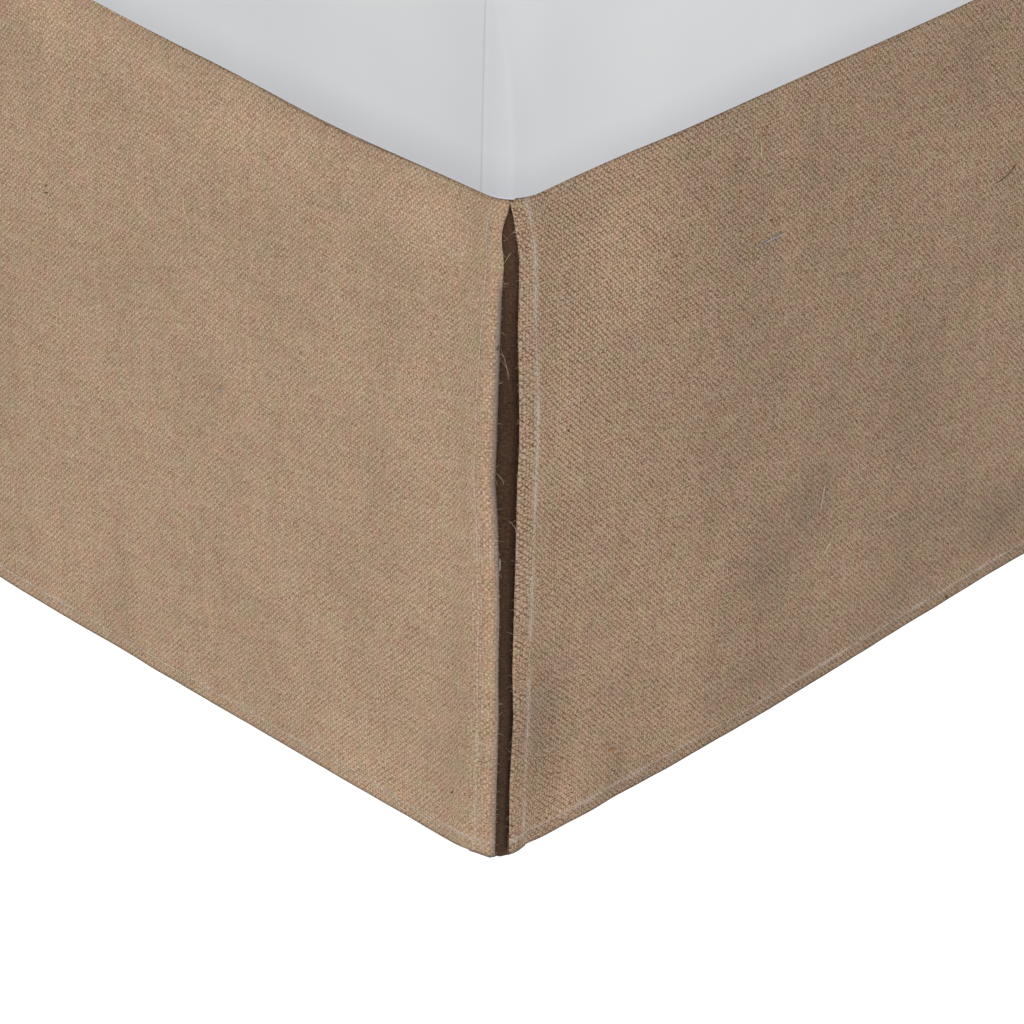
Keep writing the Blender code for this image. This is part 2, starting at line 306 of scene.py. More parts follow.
def tube_mesh(paths, radius, sides_level=2):
    """Closed or open tubes along paths; each path gives its points, their thickness and its loop."""
    line = bpy.data.curves.new("tube_lines", "CURVE")
    line.dimensions = "3D"
    line.bevel_depth = radius
    line.bevel_resolution = sides_level
    line.use_fill_caps = True
    for points, sizes, closed in paths:
        spline = line.splines.new("POLY")
        spline.points.add(len(points) - 1)
        spline.points.foreach_set("co", [n for p in points for n in (*p, 1.0)])
        spline.points.foreach_set("radius", sizes)
        spline.use_cyclic_u = closed
    holder = bpy.data.objects.new("tube_lines", line)
    bpy.context.scene.collection.objects.link(holder)
    bpy.context.view_layer.update()
    evaluated = holder.evaluated_get(bpy.context.evaluated_depsgraph_get())
    mesh = bpy.data.meshes.new_from_object(evaluated)
    maker = bmesh.new()
    maker.from_mesh(mesh)
    bmesh.ops.remove_doubles(maker, verts=maker.verts, dist=0.005 * MM)
    bpy.data.objects.remove(holder)
    bpy.data.curves.remove(line)
    bpy.data.meshes.remove(mesh)
    return maker


welt_paths = []
for welt_height in (base_low.z + WELT_DROP, base_high.z - WELT_DROP):
    loop = ring_path(base_low, base_high, BASE_CORNER, welt_height)
    welt_paths.append((loop, [1.0] * len(loop), True))
add_piece("base_welts", tube_mesh(welt_paths, WELT_RADIUS), cover_finish)

# ---------------------------------------------------------------------------------------------
# The deck. A light cotton sheet laid over the base and held down by the mattress; the panels'
# seam allowances are sewn to its edge. It is hidden but for its edge at the head end.
# ---------------------------------------------------------------------------------------------

COTTON = 0.6 * MM

deck_low, deck_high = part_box("deck")
maker = bmesh.new()
bmesh.ops.create_grid(maker, x_segments=60, y_segments=80, size=0.5)
for vert in maker.verts:
    x = deck_low.x + (vert.co.x + 0.5) * (deck_high.x - deck_low.x)
    y = deck_low.y + (vert.co.y + 0.5) * (deck_high.y - deck_low.y)
    ripple = 0.25 * MM * (noise.noise(Vector((x * 12, y * 12, 3.0))) - 1)
    vert.co = (x, y, deck_high.z + ripple)
deck_finish = plain_cloth("deck_cotton_cloth", (232, 230, 224), (220, 217, 210), 1400, 0.85, 0.1 * MM)
deck_piece = add_piece("deck_sheet", maker, deck_finish)
thickness = deck_piece.modifiers.new("Cotton", "SOLIDIFY")
thickness.thickness = COTTON
thickness.offset = -1.0
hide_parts("deck")

# ---------------------------------------------------------------------------------------------
# The corner inserts. Loose pieces of the same burlap, caught in the seam behind each split
# corner, hemmed at the bottom. Their colour is darkened as painted shade, more towards the hem, so through
# the split they show as a dark strip.
# ---------------------------------------------------------------------------------------------

BURLAP = 0.65 * MM  # thickness of one layer
LAYER = 0.8 * MM  # from one layer of a hem to the next
DROP = 0.406  # from the top fold down to the hem
CORNER_RADIUS = 18 * MM  # plan radius of the cloth's outer face at the foot corners
CORNER_ARC = CORNER_RADIUS * math.pi / 2
BASE_INSET = 7.3 * MM  # the base's faces, behind the panels' outer face
HALF_WIDTH = base_high.x + BASE_INSET
FOOT_Y = base_low.y - BASE_INSET
SKIRT_TOP = deck_high.z
INSERT_WING = 0.12  # from the middle of the corner to each end of an insert
INSERT_TOP = 3 * MM
INSERT_INSET = 1.8 * MM
INSERT_FORWARD = 4.0 * MM  # how far its hem swings out at the corner
INSERT_HEM = DROP - 1.0 * MM
INSERT_SAG = 4.6 * MM  # how much lower its hem hangs behind the split
SAG_PLACE = 6 * MM  # the sag's middle, round the corner onto the side
SAG_REACH = 8.5 * MM
INSERT_ARC = CORNER_ARC - INSERT_INSET * math.pi / 2
BOTTOM_HEM = 11 * MM
SIDE_ROW = 9 * MM  # from a panel's folded edge to its row of stitches
BOTTOM_ROW = 9 * MM  # from the hem up to its row
ROW_DEPTH = 2.0  # how far the stitches pull the cloth in, where 1 is the weave's own relief
GATHER_REACH = 24 * MM  # how far from a panel's end the warp lies closer
END_WEAVE = (14 * MM, 30 * MM)  # from an end, where its contrast begins to give way to the face's and has

WARP_PITCH = 1.66 * MM  # between threads that run down the cloth
WEFT_PITCH = 1.90 * MM  # between threads that run along it
# painted shade in the weave: its hollows and the gaps between its threads are darkened in colour
PAINTED_HOLLOW_SHADE = 0.38  # how much darker the hollows between standing threads are, from 0 to 1
PAINTED_GAP_SHADE = 0.42  # how much darker the gaps between threads are
THREAD_TONE = 0.35  # how much the tone varies from thread to thread
GRAIN_TONE = 0.16  # from crossing to crossing
FIBRE_TONE = 1.1  # within a thread
HOLLOW_SHARPNESS = 2.0
RELIEF = 0.22 * MM


def burlap(
    name,
    seed,
    colour,
    contrast=1.0,
    near_contrast=0.0,
    fuzz=1.0,
    far_painted_shade=1.0,
    lean=0.62,
    pitch=WARP_PITCH,
    end_contrast=1.0,
    end_gather=0.0,
    run=None,
    curled=False,
    rubbed=(0.0, 0.0),
    hem_tone=1.0,
    mottle=0.0,
    tinge=0.4,
    painted_shading=(),
):
    """Plain-woven jute read from the flat cloth's own map, in metres along and down it. colour is
    how it looks on a screen, near_contrast is what the weave's contrast, its painted shade in the
    hollows and gaps, gains towards the corner, fuzz is how strongly its fibres show, far_painted_shade is
    the tone that painted shade has brought the cloth to 0.3 m along it, lean is how much more the threads
    slant one way than the other, pitch is between its warp threads, end_contrast is the weave's
    contrast over the hems of the ends and end_gather is how much closer the warp lies there, run is
    the length of a panel with stitched hems, curled marks the split edge that curls in, with painted
    shade and a painted highlight, rubbed is how pale the jute is beside the stitches of the ends and
    of the bottom, hem_tone is the tone of the bottom hem, mottle and tinge are how strongly broad
    patches of tone and of colour show, and tones are rows of soft places of painted light and shade."""
    finish, start, shader = start_finish(name, 0.93)
    flat = start.node("UVMap", uv_map="flat_cloth")
    shifted = flat.node("VectorMath", {0: flat, 1: (seed, seed * 0.7, 0)}, operation="ADD")
    spot = shifted.node("SeparateXYZ", {"Vector": shifted})
    flat_spot = flat.node("SeparateXYZ", {"Vector": flat})

    # the threads wander gently, and each lies a little nearer to one neighbour than to the other
    drift = stretched_noise(shifted, 12.0, 12.0, 1.0).pick("Color")
    drifts = drift.node("SeparateColor", {"Color": drift})
    shift_warp = stretched_noise(shifted, 280.0, 40.0, 2.0)
    shift_weft = stretched_noise(shifted, 40.0, 250.0, 2.0)
    along = spot.pick("X") + (drifts.pick("Red") - 0.5) * (4.0 * MM) + (shift_warp - 0.5) * (1.7 * MM)
    down = spot.pick("Y") + (drifts.pick("Green") - 0.5) * (4.0 * MM) + (shift_weft - 0.5) * (1.7 * MM)
    if run:
        to_end = run - flat_spot.pick("X")
        from_start = flat_spot.pick("X").math("MINIMUM", GATHER_REACH)
        gathered = from_start - to_end.math("MINIMUM", GATHER_REACH)
        along = along + gathered * end_gather
        from_end = flat_spot.pick("X").math("MINIMUM", to_end)
        end_share = 1.0 - step_up(from_end, *END_WEAVE)
        contrast = contrast + end_share * (end_contrast - contrast)
    warp_turns = along / pitch
    weft_turns = down / WEFT_PITCH
    warp_wave = (warp_turns * math.pi).math("SINE")
    weft_wave = (weft_turns * math.pi).math("SINE")
    over = warp_wave * weft_wave
    warp_round = abs(warp_wave) ** 0.7
    weft_round = abs(weft_wave) ** 0.7
    warp_height = warp_round * (0.5 + 0.5 * over)
    height = warp_height.math("MAXIMUM", weft_round * (0.5 - 0.5 * over))

    # each thread has its own tone, which changes slowly along it, and its own fibres
    warp_number = warp_turns.math("FLOOR")
    weft_number = weft_turns.math("FLOOR")
    warp_place = start.node("CombineXYZ", {"X": warp_number * 3.7, "Y": down * 60.0})
    weft_place = start.node("CombineXYZ", {"X": along * 60.0, "Y": weft_number * 3.3})
    on_top = step_up(over, -0.2, 0.2)
    weft_tone = stretched_noise(weft_place, 1.0, 1.0)
    thread = weft_tone + (stretched_noise(warp_place, 1.0, 1.0) - weft_tone) * on_top
    crossing = start.node("CombineXYZ", {"X": warp_number, "Y": weft_number})
    grain = crossing.node("TexWhiteNoise", {"Vector": crossing}, noise_dimensions="2D")
    fibres = stretched_noise(shifted, 1100.0, 900.0, 2.0)

    # every second crossing lies in a hollow, which leans as the spun threads do, and the hollows and the
    # gaps are dark with painted shade
    one_way = ((warp_turns - weft_turns) * math.pi).math("COSINE")
    other_way = ((warp_turns + weft_turns) * math.pi).math("COSINE")
    hollow = (0.5 - one_way * (lean / 2) + other_way * ((1 - lean) / 2)) ** HOLLOW_SHARPNESS
    gaps = 1.0 - step_up(height, 0.12, 0.62)
    weave = PAINTED_HOLLOW_SHADE * (0.32 - hollow) + PAINTED_GAP_SHADE * (0.4 - gaps)
    near = 1.0 - step_up(flat_spot.pick("X") + flat_spot.pick("Y") * 0.7, 0.02, 0.32)
    lightness = (
        0.5
        + weave * (near * near_contrast + contrast)
        + (thread - 0.5) * THREAD_TONE
        + (grain - 0.5) * (GRAIN_TONE * fuzz)
        + (fibres - 0.5) * (FIBRE_TONE * fuzz)
    )
    stops = (
        (0.0, screen(100, 74, 56)),
        (0.25, screen(133, 106, 84)),
        (0.5, screen(166, 141, 117)),
        (0.75, screen(188, 165, 141)),
        (1.0, screen(206, 185, 161)),
    )
    jute = lightness.node("ValToRGB", {"Fac": lightness}, stops=stops)

    # patches of other jute: pinker and greener ones, and broader ones nearer to violet and straw
    bars = stretched_noise(shifted, 11.0, 70.0, 3.0)
    streaks = stretched_noise(shifted, 75.0, 9.0, 3.0)
    patches = stretched_noise(shifted, 85.0, 80.0, 2.0).pick("Color")
    patch = patches.node("SeparateColor", {"Color": patches})
    pink = step_up(patch.pick("Red"), 0.42, 0.72) * 0.8
    green = step_up(patch.pick("Green"), 0.42, 0.72) * 0.8
    jute = blend(pink, jute, (1.05, 0.95, 0.96, 1.0), "MULTIPLY")
    jute = blend(green, jute, (0.95, 1.03, 0.97, 1.0), "MULTIPLY")
    hues = stretched_noise(shifted, 60.0, 40.0, 2.0).pick("Color")
    hue = hues.node("SeparateColor", {"Color": hues})
    violet = step_up(hue.pick("Red"), 0.35, 0.65) * tinge
    straw = step_up(hue.pick("Green"), 0.35, 0.65) * tinge
    jute = blend(violet, jute, (1.0, 0.98, 1.07, 1.0), "MULTIPLY")
    jute = blend(straw, jute, (1.01, 1.02, 0.95, 1.0), "MULTIPLY")

    # the tone of the whole piece, with faint bars and streaks where threads run thick or thin, and painted
    # shade that deepens along it away from the corner
    far = step_up(flat_spot.pick("X"), 0.0, 0.3)
    shade = (1.0 + far * (far_painted_shade - 1.0)) * (1.0 + (bars - 0.5) * 0.12 + (streaks - 0.5) * 0.12)
    # soft places of painted light and painted shade, where the folds catch or lose the light
    for row in painted_shading:
        sizes = [1 / (reach * MM) for reach in row["reach"]]
        offset = [-place * MM * size for place, size in zip(row["at"], sizes)]
        sockets = {0: flat, 1: (*sizes, 0.0), 2: (*offset, 0.0)}
        away = flat.node("VectorMath", sockets, operation="MULTIPLY_ADD")
        away = away.node("VectorMath", {0: away}, operation="LENGTH")
        shade = shade * ((1.0 - step_up(away, 0.0, 1.0)) * row["gain"] + 1.0)
    if run:
        broad = stretched_noise(shifted, 16.0, 11.0, 3.0)
        patchy = stretched_noise(shifted, 22.0, 22.0, 2.0)
        in_hem = step_up(flat_spot.pick("Y"), DROP - BOTTOM_ROW - MM, DROP - BOTTOM_ROW + MM)
        turning = step_up(flat_spot.pick("Y"), DROP - 2.8 * MM, DROP - 0.4 * MM)
        shade = shade * ((broad - 0.5) * mottle + 1.0) * (in_hem * (hem_tone - 1.0) + 1.0)
        # painted shade along the bottom edge, where the hem turns under
        shade = shade * (1.0 - turning * 0.5)
    tint = [wanted / plain for wanted, plain in zip(screen(*colour), screen(166, 141, 117))]
    tints = {"Red": shade * tint[0], "Green": shade * tint[1], "Blue": shade * tint[2]}
    jute = blend(1.0, jute, shade.node("CombineColor", tints), "MULTIPLY")

    # where a split edge curls in, its folded side is painted grey as shade, the crest beside it gets a
    # painted highlight, and where it turns under it gets painted shade
    if curled:
        low_end = step_up(flat_spot.pick("Y"), 0.038, 0.060)
        high_end = 1.0 - step_up(flat_spot.pick("Y"), 0.185, 0.212)
        along_edge = low_end * (high_end * 0.35 + 0.65)
        painted_side_face_shade = (1.0 - step_up(flat_spot.pick("X"), 0.2 * MM, 3.4 * MM)) * along_edge
        painted_crest_highlight = (1.0 - step_up(abs(flat_spot.pick("X") - 4.0 * MM), 0.5 * MM, 2.5 * MM)) * 0.35
        jute = blend(painted_crest_highlight, jute, (1.16, 1.15, 1.13, 1.0), "MULTIPLY")
        jute = blend(painted_side_face_shade * 0.85, jute, screen(116, 105, 102))
        painted_turned_under_shade = (1.0 - step_up(flat_spot.pick("X"), -0.4 * MM, 1.4 * MM)) * along_edge
        jute = blend(painted_turned_under_shade * 0.8, jute, screen(78, 64, 58))

    # the weave's own relief, with fibres standing on each thread, sunk along the rows of stitches,
    # where the thread's fuzz pales the jute near the split
    relief = height + fibres * 0.2
    if run:
        clumps = step_up(patch.pick("Blue") * 0.4 + fibres * 0.6, 0.40, 0.60) * 0.7 + 0.3
        clumps = clumps * (step_up(patchy, 0.42, 0.56) * 0.7 + 0.3)
        rows = (from_end - SIDE_ROW, flat_spot.pick("Y") - (DROP - BOTTOM_ROW))
        hem_reach = 1.0 - step_up(from_end, 60 * MM, 130 * MM) * 0.35
        for row, pale in zip(rows, rubbed):
            relief = relief - (1.0 - step_up(abs(row), 0.0, 1.6 * MM)) * ROW_DEPTH
            beside = (1.0 - step_up(abs(row), 0.4 * MM, 2.8 * MM)) * pale
            jute = blend(beside * clumps * hem_reach, jute, screen(206, 190, 176))
    feed(start.tree, shader.inputs["Base Color"], jute)
    bump = relief.node("Bump", {"Height": relief, "Strength": 1.0, "Distance": RELIEF})
    feed(start.tree, shader.inputs["Normal"], bump)
    return finish


def smooth_step(low, high, value):
    """0 below low, 1 above high, and an S curve between."""
    share = min(1.0, max(0.0, (value - low) / (high - low)))
    return share * share * (3 - 2 * share)


def round_corner(place, out):
    """Plan position of cloth at a place along a panel: along from the square corner, and out."""
    past = CORNER_ARC / 2 - place
    if past <= 0:
        return CORNER_RADIUS - past, out
    turn = past / CORNER_RADIUS
    radius = CORNER_RADIUS + out
    return CORNER_RADIUS - radius * math.sin(turn), radius * math.cos(turn) - CORNER_RADIUS


def woven_grid(columns, rows, place):
    """A grid of cloth: place(column, row) gives each point and its spot on the flat cloth."""
    maker = bmesh.new()
    bmesh.ops.create_grid(maker, x_segments=columns - 1, y_segments=rows - 1, size=0.5)
    flat_spots = {}
    for vert in maker.verts:
        column = round((vert.co.x + 0.5) * (columns - 1))
        row = round((0.5 - vert.co.y) * (rows - 1))
        vert.co, flat_spots[vert.index] = place(column, row)
    flat_map = maker.loops.layers.uv.new("flat_cloth")
    for face in maker.faces:
        for loop in face.loops:
            loop[flat_map].uv = flat_spots[loop.vert.index]
    return maker


def thicken(piece):
    """Gives a sheet of burlap its thickness, behind its outer face."""
    layer = piece.modifiers.new("Burlap", "SOLIDIFY")
    layer.thickness = BURLAP
    layer.offset = -1.0
    layer.use_even_offset = True


def insert_point(side, around, down, depth):
    """A point of an insert: around the corner from its middle, down from the fold."""
    down_share = (down - INSERT_TOP) / (DROP - INSERT_TOP)
    forward = INSERT_FORWARD * smooth_step(60 * MM, DROP, down)
    forward *= 1 - smooth_step(6 * MM, 30 * MM, abs(around))
    sag = math.exp(-(((around * side - SAG_PLACE) / SAG_REACH) ** 2))
    down += INSERT_SAG * smooth_step(0.7 * DROP, DROP, down) * sag
    sway = 0.5 * MM * math.sin(around / INSERT_WING * 4) * down_share
    ripple = 0.4 * MM * noise.noise(Vector((around * 20, down * 12, side))) * down_share
    from_middle = CORNER_ARC / 2 - INSERT_ARC / 2 + abs(around)
    along, out = round_corner(from_middle, sway + ripple + forward - INSERT_INSET - depth)
    if around * side > 0:
        return Vector((side * (HALF_WIDTH + out), FOOT_Y + along, SKIRT_TOP - down))
    return Vector((side * (HALF_WIDTH - along), FOOT_Y - out, SKIRT_TOP - down))


HEM_TURNS = 5  # cells round the fold of a hem
INSERT_COLUMNS = 61
INSERT_FACE = 60


def insert_spot(side, column, row):
    """A point of an insert's grid and its spot on the flat cloth; the last rows are its hem."""
    around = (column / (INSERT_COLUMNS - 1) - 0.5) * 2 * INSERT_WING
    half = LAYER / 2
    face_end = INSERT_HEM - half
    if row <= INSERT_FACE:
        down = INSERT_TOP + (face_end - INSERT_TOP) * row / INSERT_FACE
        return insert_point(side, around, down, 0.0), (around, down)
    if row <= INSERT_FACE + HEM_TURNS:
        angle = math.pi * (row - INSERT_FACE) / HEM_TURNS
        down = face_end + half * math.sin(angle)
        depth = half * (1 - math.cos(angle))
        return insert_point(side, around, down, depth), (around, face_end + half * angle)
    back = BOTTOM_HEM * (row - INSERT_FACE - HEM_TURNS) / 2
    spot = (around, face_end + half * math.pi + back)
    return insert_point(side, around, face_end - back, LAYER), spot


# painted shade: a dark colour for the inserts' burlap, darker still towards the hem, for the shade behind
# the split
burlap_with_painted_shade = burlap(
    "burlap_behind_split_painted_shade",
    3.1,
    (77, 54, 37),
    contrast=0.35,
    painted_shading=({"at": (0, 380), "reach": (60, 220), "gain": -0.16},),
)
for insert_name, corner_side in (("insert_left", -1), ("insert_right", 1)):
    maker = woven_grid(
        INSERT_COLUMNS,
        INSERT_FACE + HEM_TURNS + 3,
        lambda column, row, side=corner_side: insert_spot(side, column, row),
    )
    piece = add_piece("corner_" + insert_name, maker, burlap_with_painted_shade)
    thicken(piece)
    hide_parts(insert_name)

# ---------------------------------------------------------------------------------------------
# The drop panels. Flat burlap, each one cut: a turned and stitched hem down both ends and along
# the bottom, and a turned-in top that is sewn to the deck. They hang straight with soft folds.
# ---------------------------------------------------------------------------------------------

TOP_LENGTH = 2.032
TURN_IN = 15 * MM
FOLD_RADIUS = 3 * MM
SEAM_GAP = 0.3 * MM
FALL = 6 * MM  # how far the panels stand out below the fold, over the inserts
FALL_START = 12 * MM
FALL_END = 130 * MM
SIDE_HEM = 11 * MM  # depth of the hems down the ends
EDGE_SPREAD = 0.25  # reach of the split's wavering along a panel
CURL_REACH = 7 * MM  # how near its edge the cloth begins to curl in

# The split at a foot corner: where the two hemmed edges stand, as lengths round the corner
# from its middle, onto the foot panel (minus) and onto the side panel (plus), in millimetres
SPLIT = (
    {"down": 0.0, "foot": -1.45, "side": -1.35},
    {"down": 4.0, "foot": -1.5, "side": -1.3},
    {"down": 5.5, "foot": -1.8, "side": -0.8},
    {"down": 7.5, "foot": -2.1, "side": -0.3},
    {"down": 11.0, "foot": -3.2, "side": 0.6},
    {"down": 15.0, "foot": -4.3, "side": 1.3},
    {"down": 22.0, "foot": -5.2, "side": 2.4},
    {"down": 28.0, "foot": -4.7, "side": 3.6},
    {"down": 37.0, "foot": -3.4, "side": 4.5},
    {"down": 56.0, "foot": -3.8, "side": 4.7},
    {"down": 75.0, "foot": -3.6, "side": 4.4},
    {"down": 100.0, "foot": -3.4, "side": 5.0},
    {"down": 142.0, "foot": -3.3, "side": 6.1},
    {"down": 165.0, "foot": -3.4, "side": 5.8},
    {"down": 187.0, "foot": -1.8, "side": 6.0},
    {"down": 217.0, "foot": -0.5, "side": 6.3},
    {"down": 247.0, "foot": 0.5, "side": 6.5},
    {"down": 285.0, "foot": 0.9, "side": 6.8},
    {"down": 315.0, "foot": 1.8, "side": 8.0},
    {"down": 360.0, "foot": 1.9, "side": 7.4},
    {"down": 406.0, "foot": 2.3, "side": 8.3},
)

# Soft folds of the hanging cloth. place and reach are metres along a panel from the middle of
# its corner; top, middle and hem are how far the fold stands out there (plus) or in (minus), in mm
FOOT_FOLDS = (
    {"place": 0.045, "reach": 0.018, "top": 0.0, "middle": -0.4, "hem": -1.6},
    {"place": 0.13, "reach": 0.070, "top": 1.2, "middle": 0.4, "hem": 0.8},
    {"place": 0.21, "reach": 0.040, "top": 0.2, "middle": -0.9, "hem": 0.4},
    {"place": 0.30, "reach": 0.035, "top": -1.6, "middle": -0.8, "hem": -1.6},
    {"place": 0.42, "reach": 0.050, "top": -0.6, "middle": 1.6, "hem": 2.2},
    {"place": 0.60, "reach": 0.090, "top": 0.6, "middle": -1.2, "hem": -1.4},
    {"place": 0.79, "reach": 0.080, "top": -0.5, "middle": 1.4, "hem": 2.0},
    {"place": 1.00, "reach": 0.095, "top": 0.5, "middle": -1.0, "hem": -1.7},
    {"place": 1.22, "reach": 0.070, "top": -0.4, "middle": 1.2, "hem": 1.8},
    {"place": 1.38, "reach": 0.050, "top": 0.3, "middle": -0.8, "hem": -1.2},
    {"place": 1.47, "reach": 0.022, "top": 0.0, "middle": 0.5, "hem": 1.5},
)
RIGHT_FOLDS = (
    {"place": 0.010, "reach": 0.010, "top": 0.0, "middle": 0.4, "hem": 0.6},
    {"place": 0.024, "reach": 0.012, "top": 0.0, "middle": -0.7, "hem": -2.2},
    {"place": 0.058, "reach": 0.020, "top": 0.2, "middle": 0.4, "hem": 2.2},
    {"place": 0.130, "reach": 0.040, "top": 0.9, "middle": 0.5, "hem": 0.2},
    {"place": 0.200, "reach": 0.055, "top": -0.4, "middle": 1.6, "hem": 2.4},
    {"place": 0.270, "reach": 0.040, "top": -0.5, "middle": -1.4, "hem": 0.2},
    {"place": 0.350, "reach": 0.045, "top": -0.6, "middle": -0.3, "hem": -1.2},
    {"place": 0.440, "reach": 0.060, "top": 0.3, "middle": -0.8, "hem": -2.2},
    {"place": 0.620, "reach": 0.090, "top": -0.3, "middle": 1.5, "hem": 2.2},
    {"place": 0.860, "reach": 0.110, "top": 0.4, "middle": -1.3, "hem": -1.8},
    {"place": 1.110, "reach": 0.120, "top": -0.4, "middle": 1.2, "hem": 2.3},
    {"place": 1.370, "reach": 0.120, "top": 0.5, "middle": -1.1, "hem": -1.9},
    {"place": 1.630, "reach": 0.130, "top": -0.4, "middle": 1.4, "hem": 2.1},
    {"place": 1.880, "reach": 0.120, "top": 0.2, "middle": -1.0, "hem": -1.5},
)
LEFT_FOLDS = (
    {"place": 0.012, "reach": 0.011, "top": 0.0, "middle": 0.5, "hem": 1.2},
    {"place": 0.045, "reach": 0.018, "top": 0.0, "middle": -0.6, "hem": -1.3},
    {"place": 0.110, "reach": 0.035, "top": 0.6, "middle": 0.8, "hem": 1.4},
    {"place": 0.230, "reach": 0.060, "top": -0.5, "middle": -1.2, "hem": -1.6},
    {"place": 0.380, "reach": 0.070, "top": 0.4, "middle": 1.3, "hem": 2.1},
    {"place": 0.570, "reach": 0.090, "top": -0.4, "middle": -1.1, "hem": -2.0},
    {"place": 0.800, "reach": 0.110, "top": 0.3, "middle": 1.5, "hem": 1.9},
    {"place": 1.060, "reach": 0.120, "top": -0.3, "middle": -1.2, "hem": -1.7},
    {"place": 1.330, "reach": 0.130, "top": 0.4, "middle": 1.2, "hem": 2.3},
    {"place": 1.600, "reach": 0.120, "top": -0.4, "middle": -1.4, "hem": -1.6},
    {"place": 1.850, "reach": 0.110, "top": 0.3, "middle": 1.0, "hem": 1.6},
)

# How the hems rise (plus) or dip (minus) along each panel, in millimetres
FOOT_WAVES = (
    {"place": -0.001, "reach": 0.004, "rise": -2.7},
    {"place": 0.008, "reach": 0.009, "rise": 0.8},
    {"place": 0.044, "reach": 0.018, "rise": -1.7},
    {"place": 0.03, "reach": 0.070, "rise": 1.2},
    {"place": 0.24, "reach": 0.030, "rise": 0.6},
    {"place": 0.335, "reach": 0.048, "rise": -1.1},
    {"place": 0.41, "reach": 0.020, "rise": 1.0},
    {"place": 0.275, "reach": 0.075, "rise": -2.8},
    {"place": 0.38, "reach": 0.080, "rise": -1.0},
    {"place": 0.90, "reach": 0.150, "rise": 0.9},
    {"place": 1.30, "reach": 0.120, "rise": -0.8},
)
SIDE_WAVES = (
    {"place": 0.012, "reach": 0.009, "rise": -0.3},
    {"place": 0.028, "reach": 0.010, "rise": -1.2},
    {"place": 0.054, "reach": 0.016, "rise": 1.8},
    {"place": 0.12, "reach": 0.050, "rise": -1.5},
    {"place": 0.14, "reach": 0.030, "rise": -0.8},
    {"place": 0.20, "reach": 0.070, "rise": -0.9},
    {"place": 0.33, "reach": 0.110, "rise": -2.2},
    {"place": 0.44, "reach": 0.080, "rise": -0.5},
    {"place": 0.95, "reach": 0.160, "rise": -0.8},
    {"place": 1.50, "reach": 0.160, "rise": 0.9},
)

# How the top folds rise or dip with the soft edge of the mattress, in the same way
FOOT_TOPS = (
    {"place": 0.014, "reach": 0.022, "rise": 0.3},
    {"place": 0.12, "reach": 0.062, "rise": -2.3},
    {"place": 0.205, "reach": 0.05, "rise": 0.9},
    {"place": 0.36, "reach": 0.10, "rise": 5.0},
    {"place": 0.75, "reach": 0.13, "rise": -1.6},
    {"place": 1.15, "reach": 0.13, "rise": 2.0},
)
SIDE_TOPS = (
    {"place": 0.022, "reach": 0.028, "rise": 1.6},
    {"place": 0.07, "reach": 0.035, "rise": 1.6},
    {"place": 0.34, "reach": 0.10, "rise": -1.5},
    {"place": 0.80, "reach": 0.15, "rise": 1.7},
    {"place": 1.40, "reach": 0.17, "rise": -1.6},
)
TOP_REACH = 110 * MM  # how far down the cloth still rises with its fold

FOOT_RUN = 2 * HALF_WIDTH - 2 * CORNER_RADIUS + CORNER_ARC
SIDE_RUN = TOP_LENGTH - CORNER_RADIUS + CORNER_ARC / 2
PANELS = (
    {
        "name": "drop_foot",
        "node": "panel_foot",
        "side": 0,
        "run": FOOT_RUN,
        "middle": FOOT_RUN / 2,
        "fine": (0.46, 0.03),  # how far from each end the net of points is fine
        "splits": ("foot", "foot"),
        "curls": (1.9 * MM, 0.8 * MM),
        "folds": FOOT_FOLDS,
        "waves": FOOT_WAVES,
        "tops": FOOT_TOPS,
        "seed": 1.0,
        "thread": (0.27 * MM, 0.42 * MM),  # its radius in the rows down the ends and in the bottom row
        "proud": (0.2, 1.1),  # how far its stitches stand off the face, as parts of their radius
        "row_start": 30 * MM,  # from the row down an end to the first stitch of the bottom row
    },
    {
        "name": "drop_right",
        "node": "panel_right",
        "side": 1,
        "run": SIDE_RUN,
        "middle": 1.0,
        "fine": (0.48, 0.03),
        "splits": ("side", None),
        "curls": (0.5 * MM, 0.0),
        "folds": RIGHT_FOLDS,
        "waves": SIDE_WAVES,
        "tops": SIDE_TOPS,
        "seed": 5.0,
        "thread": (0.24 * MM, 0.26 * MM),
        "proud": (-0.6, 0.4),
        "row_start": 8 * MM,
    },
    {
        "name": "drop_left",
        "node": "panel_left",
        "side": -1,
        "run": SIDE_RUN,
        "middle": 1.0,
        "fine": (0.05, 0.03),
        "splits": ("side", None),
        "curls": (0.8 * MM, 0.0),
        "folds": LEFT_FOLDS,
        "waves": SIDE_WAVES,
        "tops": SIDE_TOPS,
        "seed": 9.0,
        "thread": (0.26 * MM, 0.26 * MM),
        "proud": (-0.6, 0.4),
        "row_start": 8 * MM,
    },
)


def read_table(table, key, down):
    """The value of a column of SPLIT at a depth below the fold, in metres."""
    depth = down / MM
    for upper, lower in zip(table, table[1:]):
        if depth <= lower["down"]:
            share = (depth - upper["down"]) / (lower["down"] - upper["down"])
            return (upper[key] + (lower[key] - upper[key]) * share) * MM
    return table[-1][key] * MM


def bell(row, place):
    """How much of a fold or a hem wave is felt at a place along the cloth."""
    return math.exp(-(((place - row["place"]) / row["reach"]) ** 2))


def stand_out(folds, place, down):
    """How far a panel's face stands outside the plane of its top fold."""
    share = down / DROP
    total = FALL * smooth_step(FALL_START, FALL_END, down)
    for fold in folds:
        if share < 0.5:
            height = fold["top"] + (fold["middle"] - fold["top"]) * share * 2
        else:
            height = fold["middle"] + (fold["hem"] - fold["middle"]) * (share * 2 - 1)
        total += height * MM * bell(fold, place)
    return total


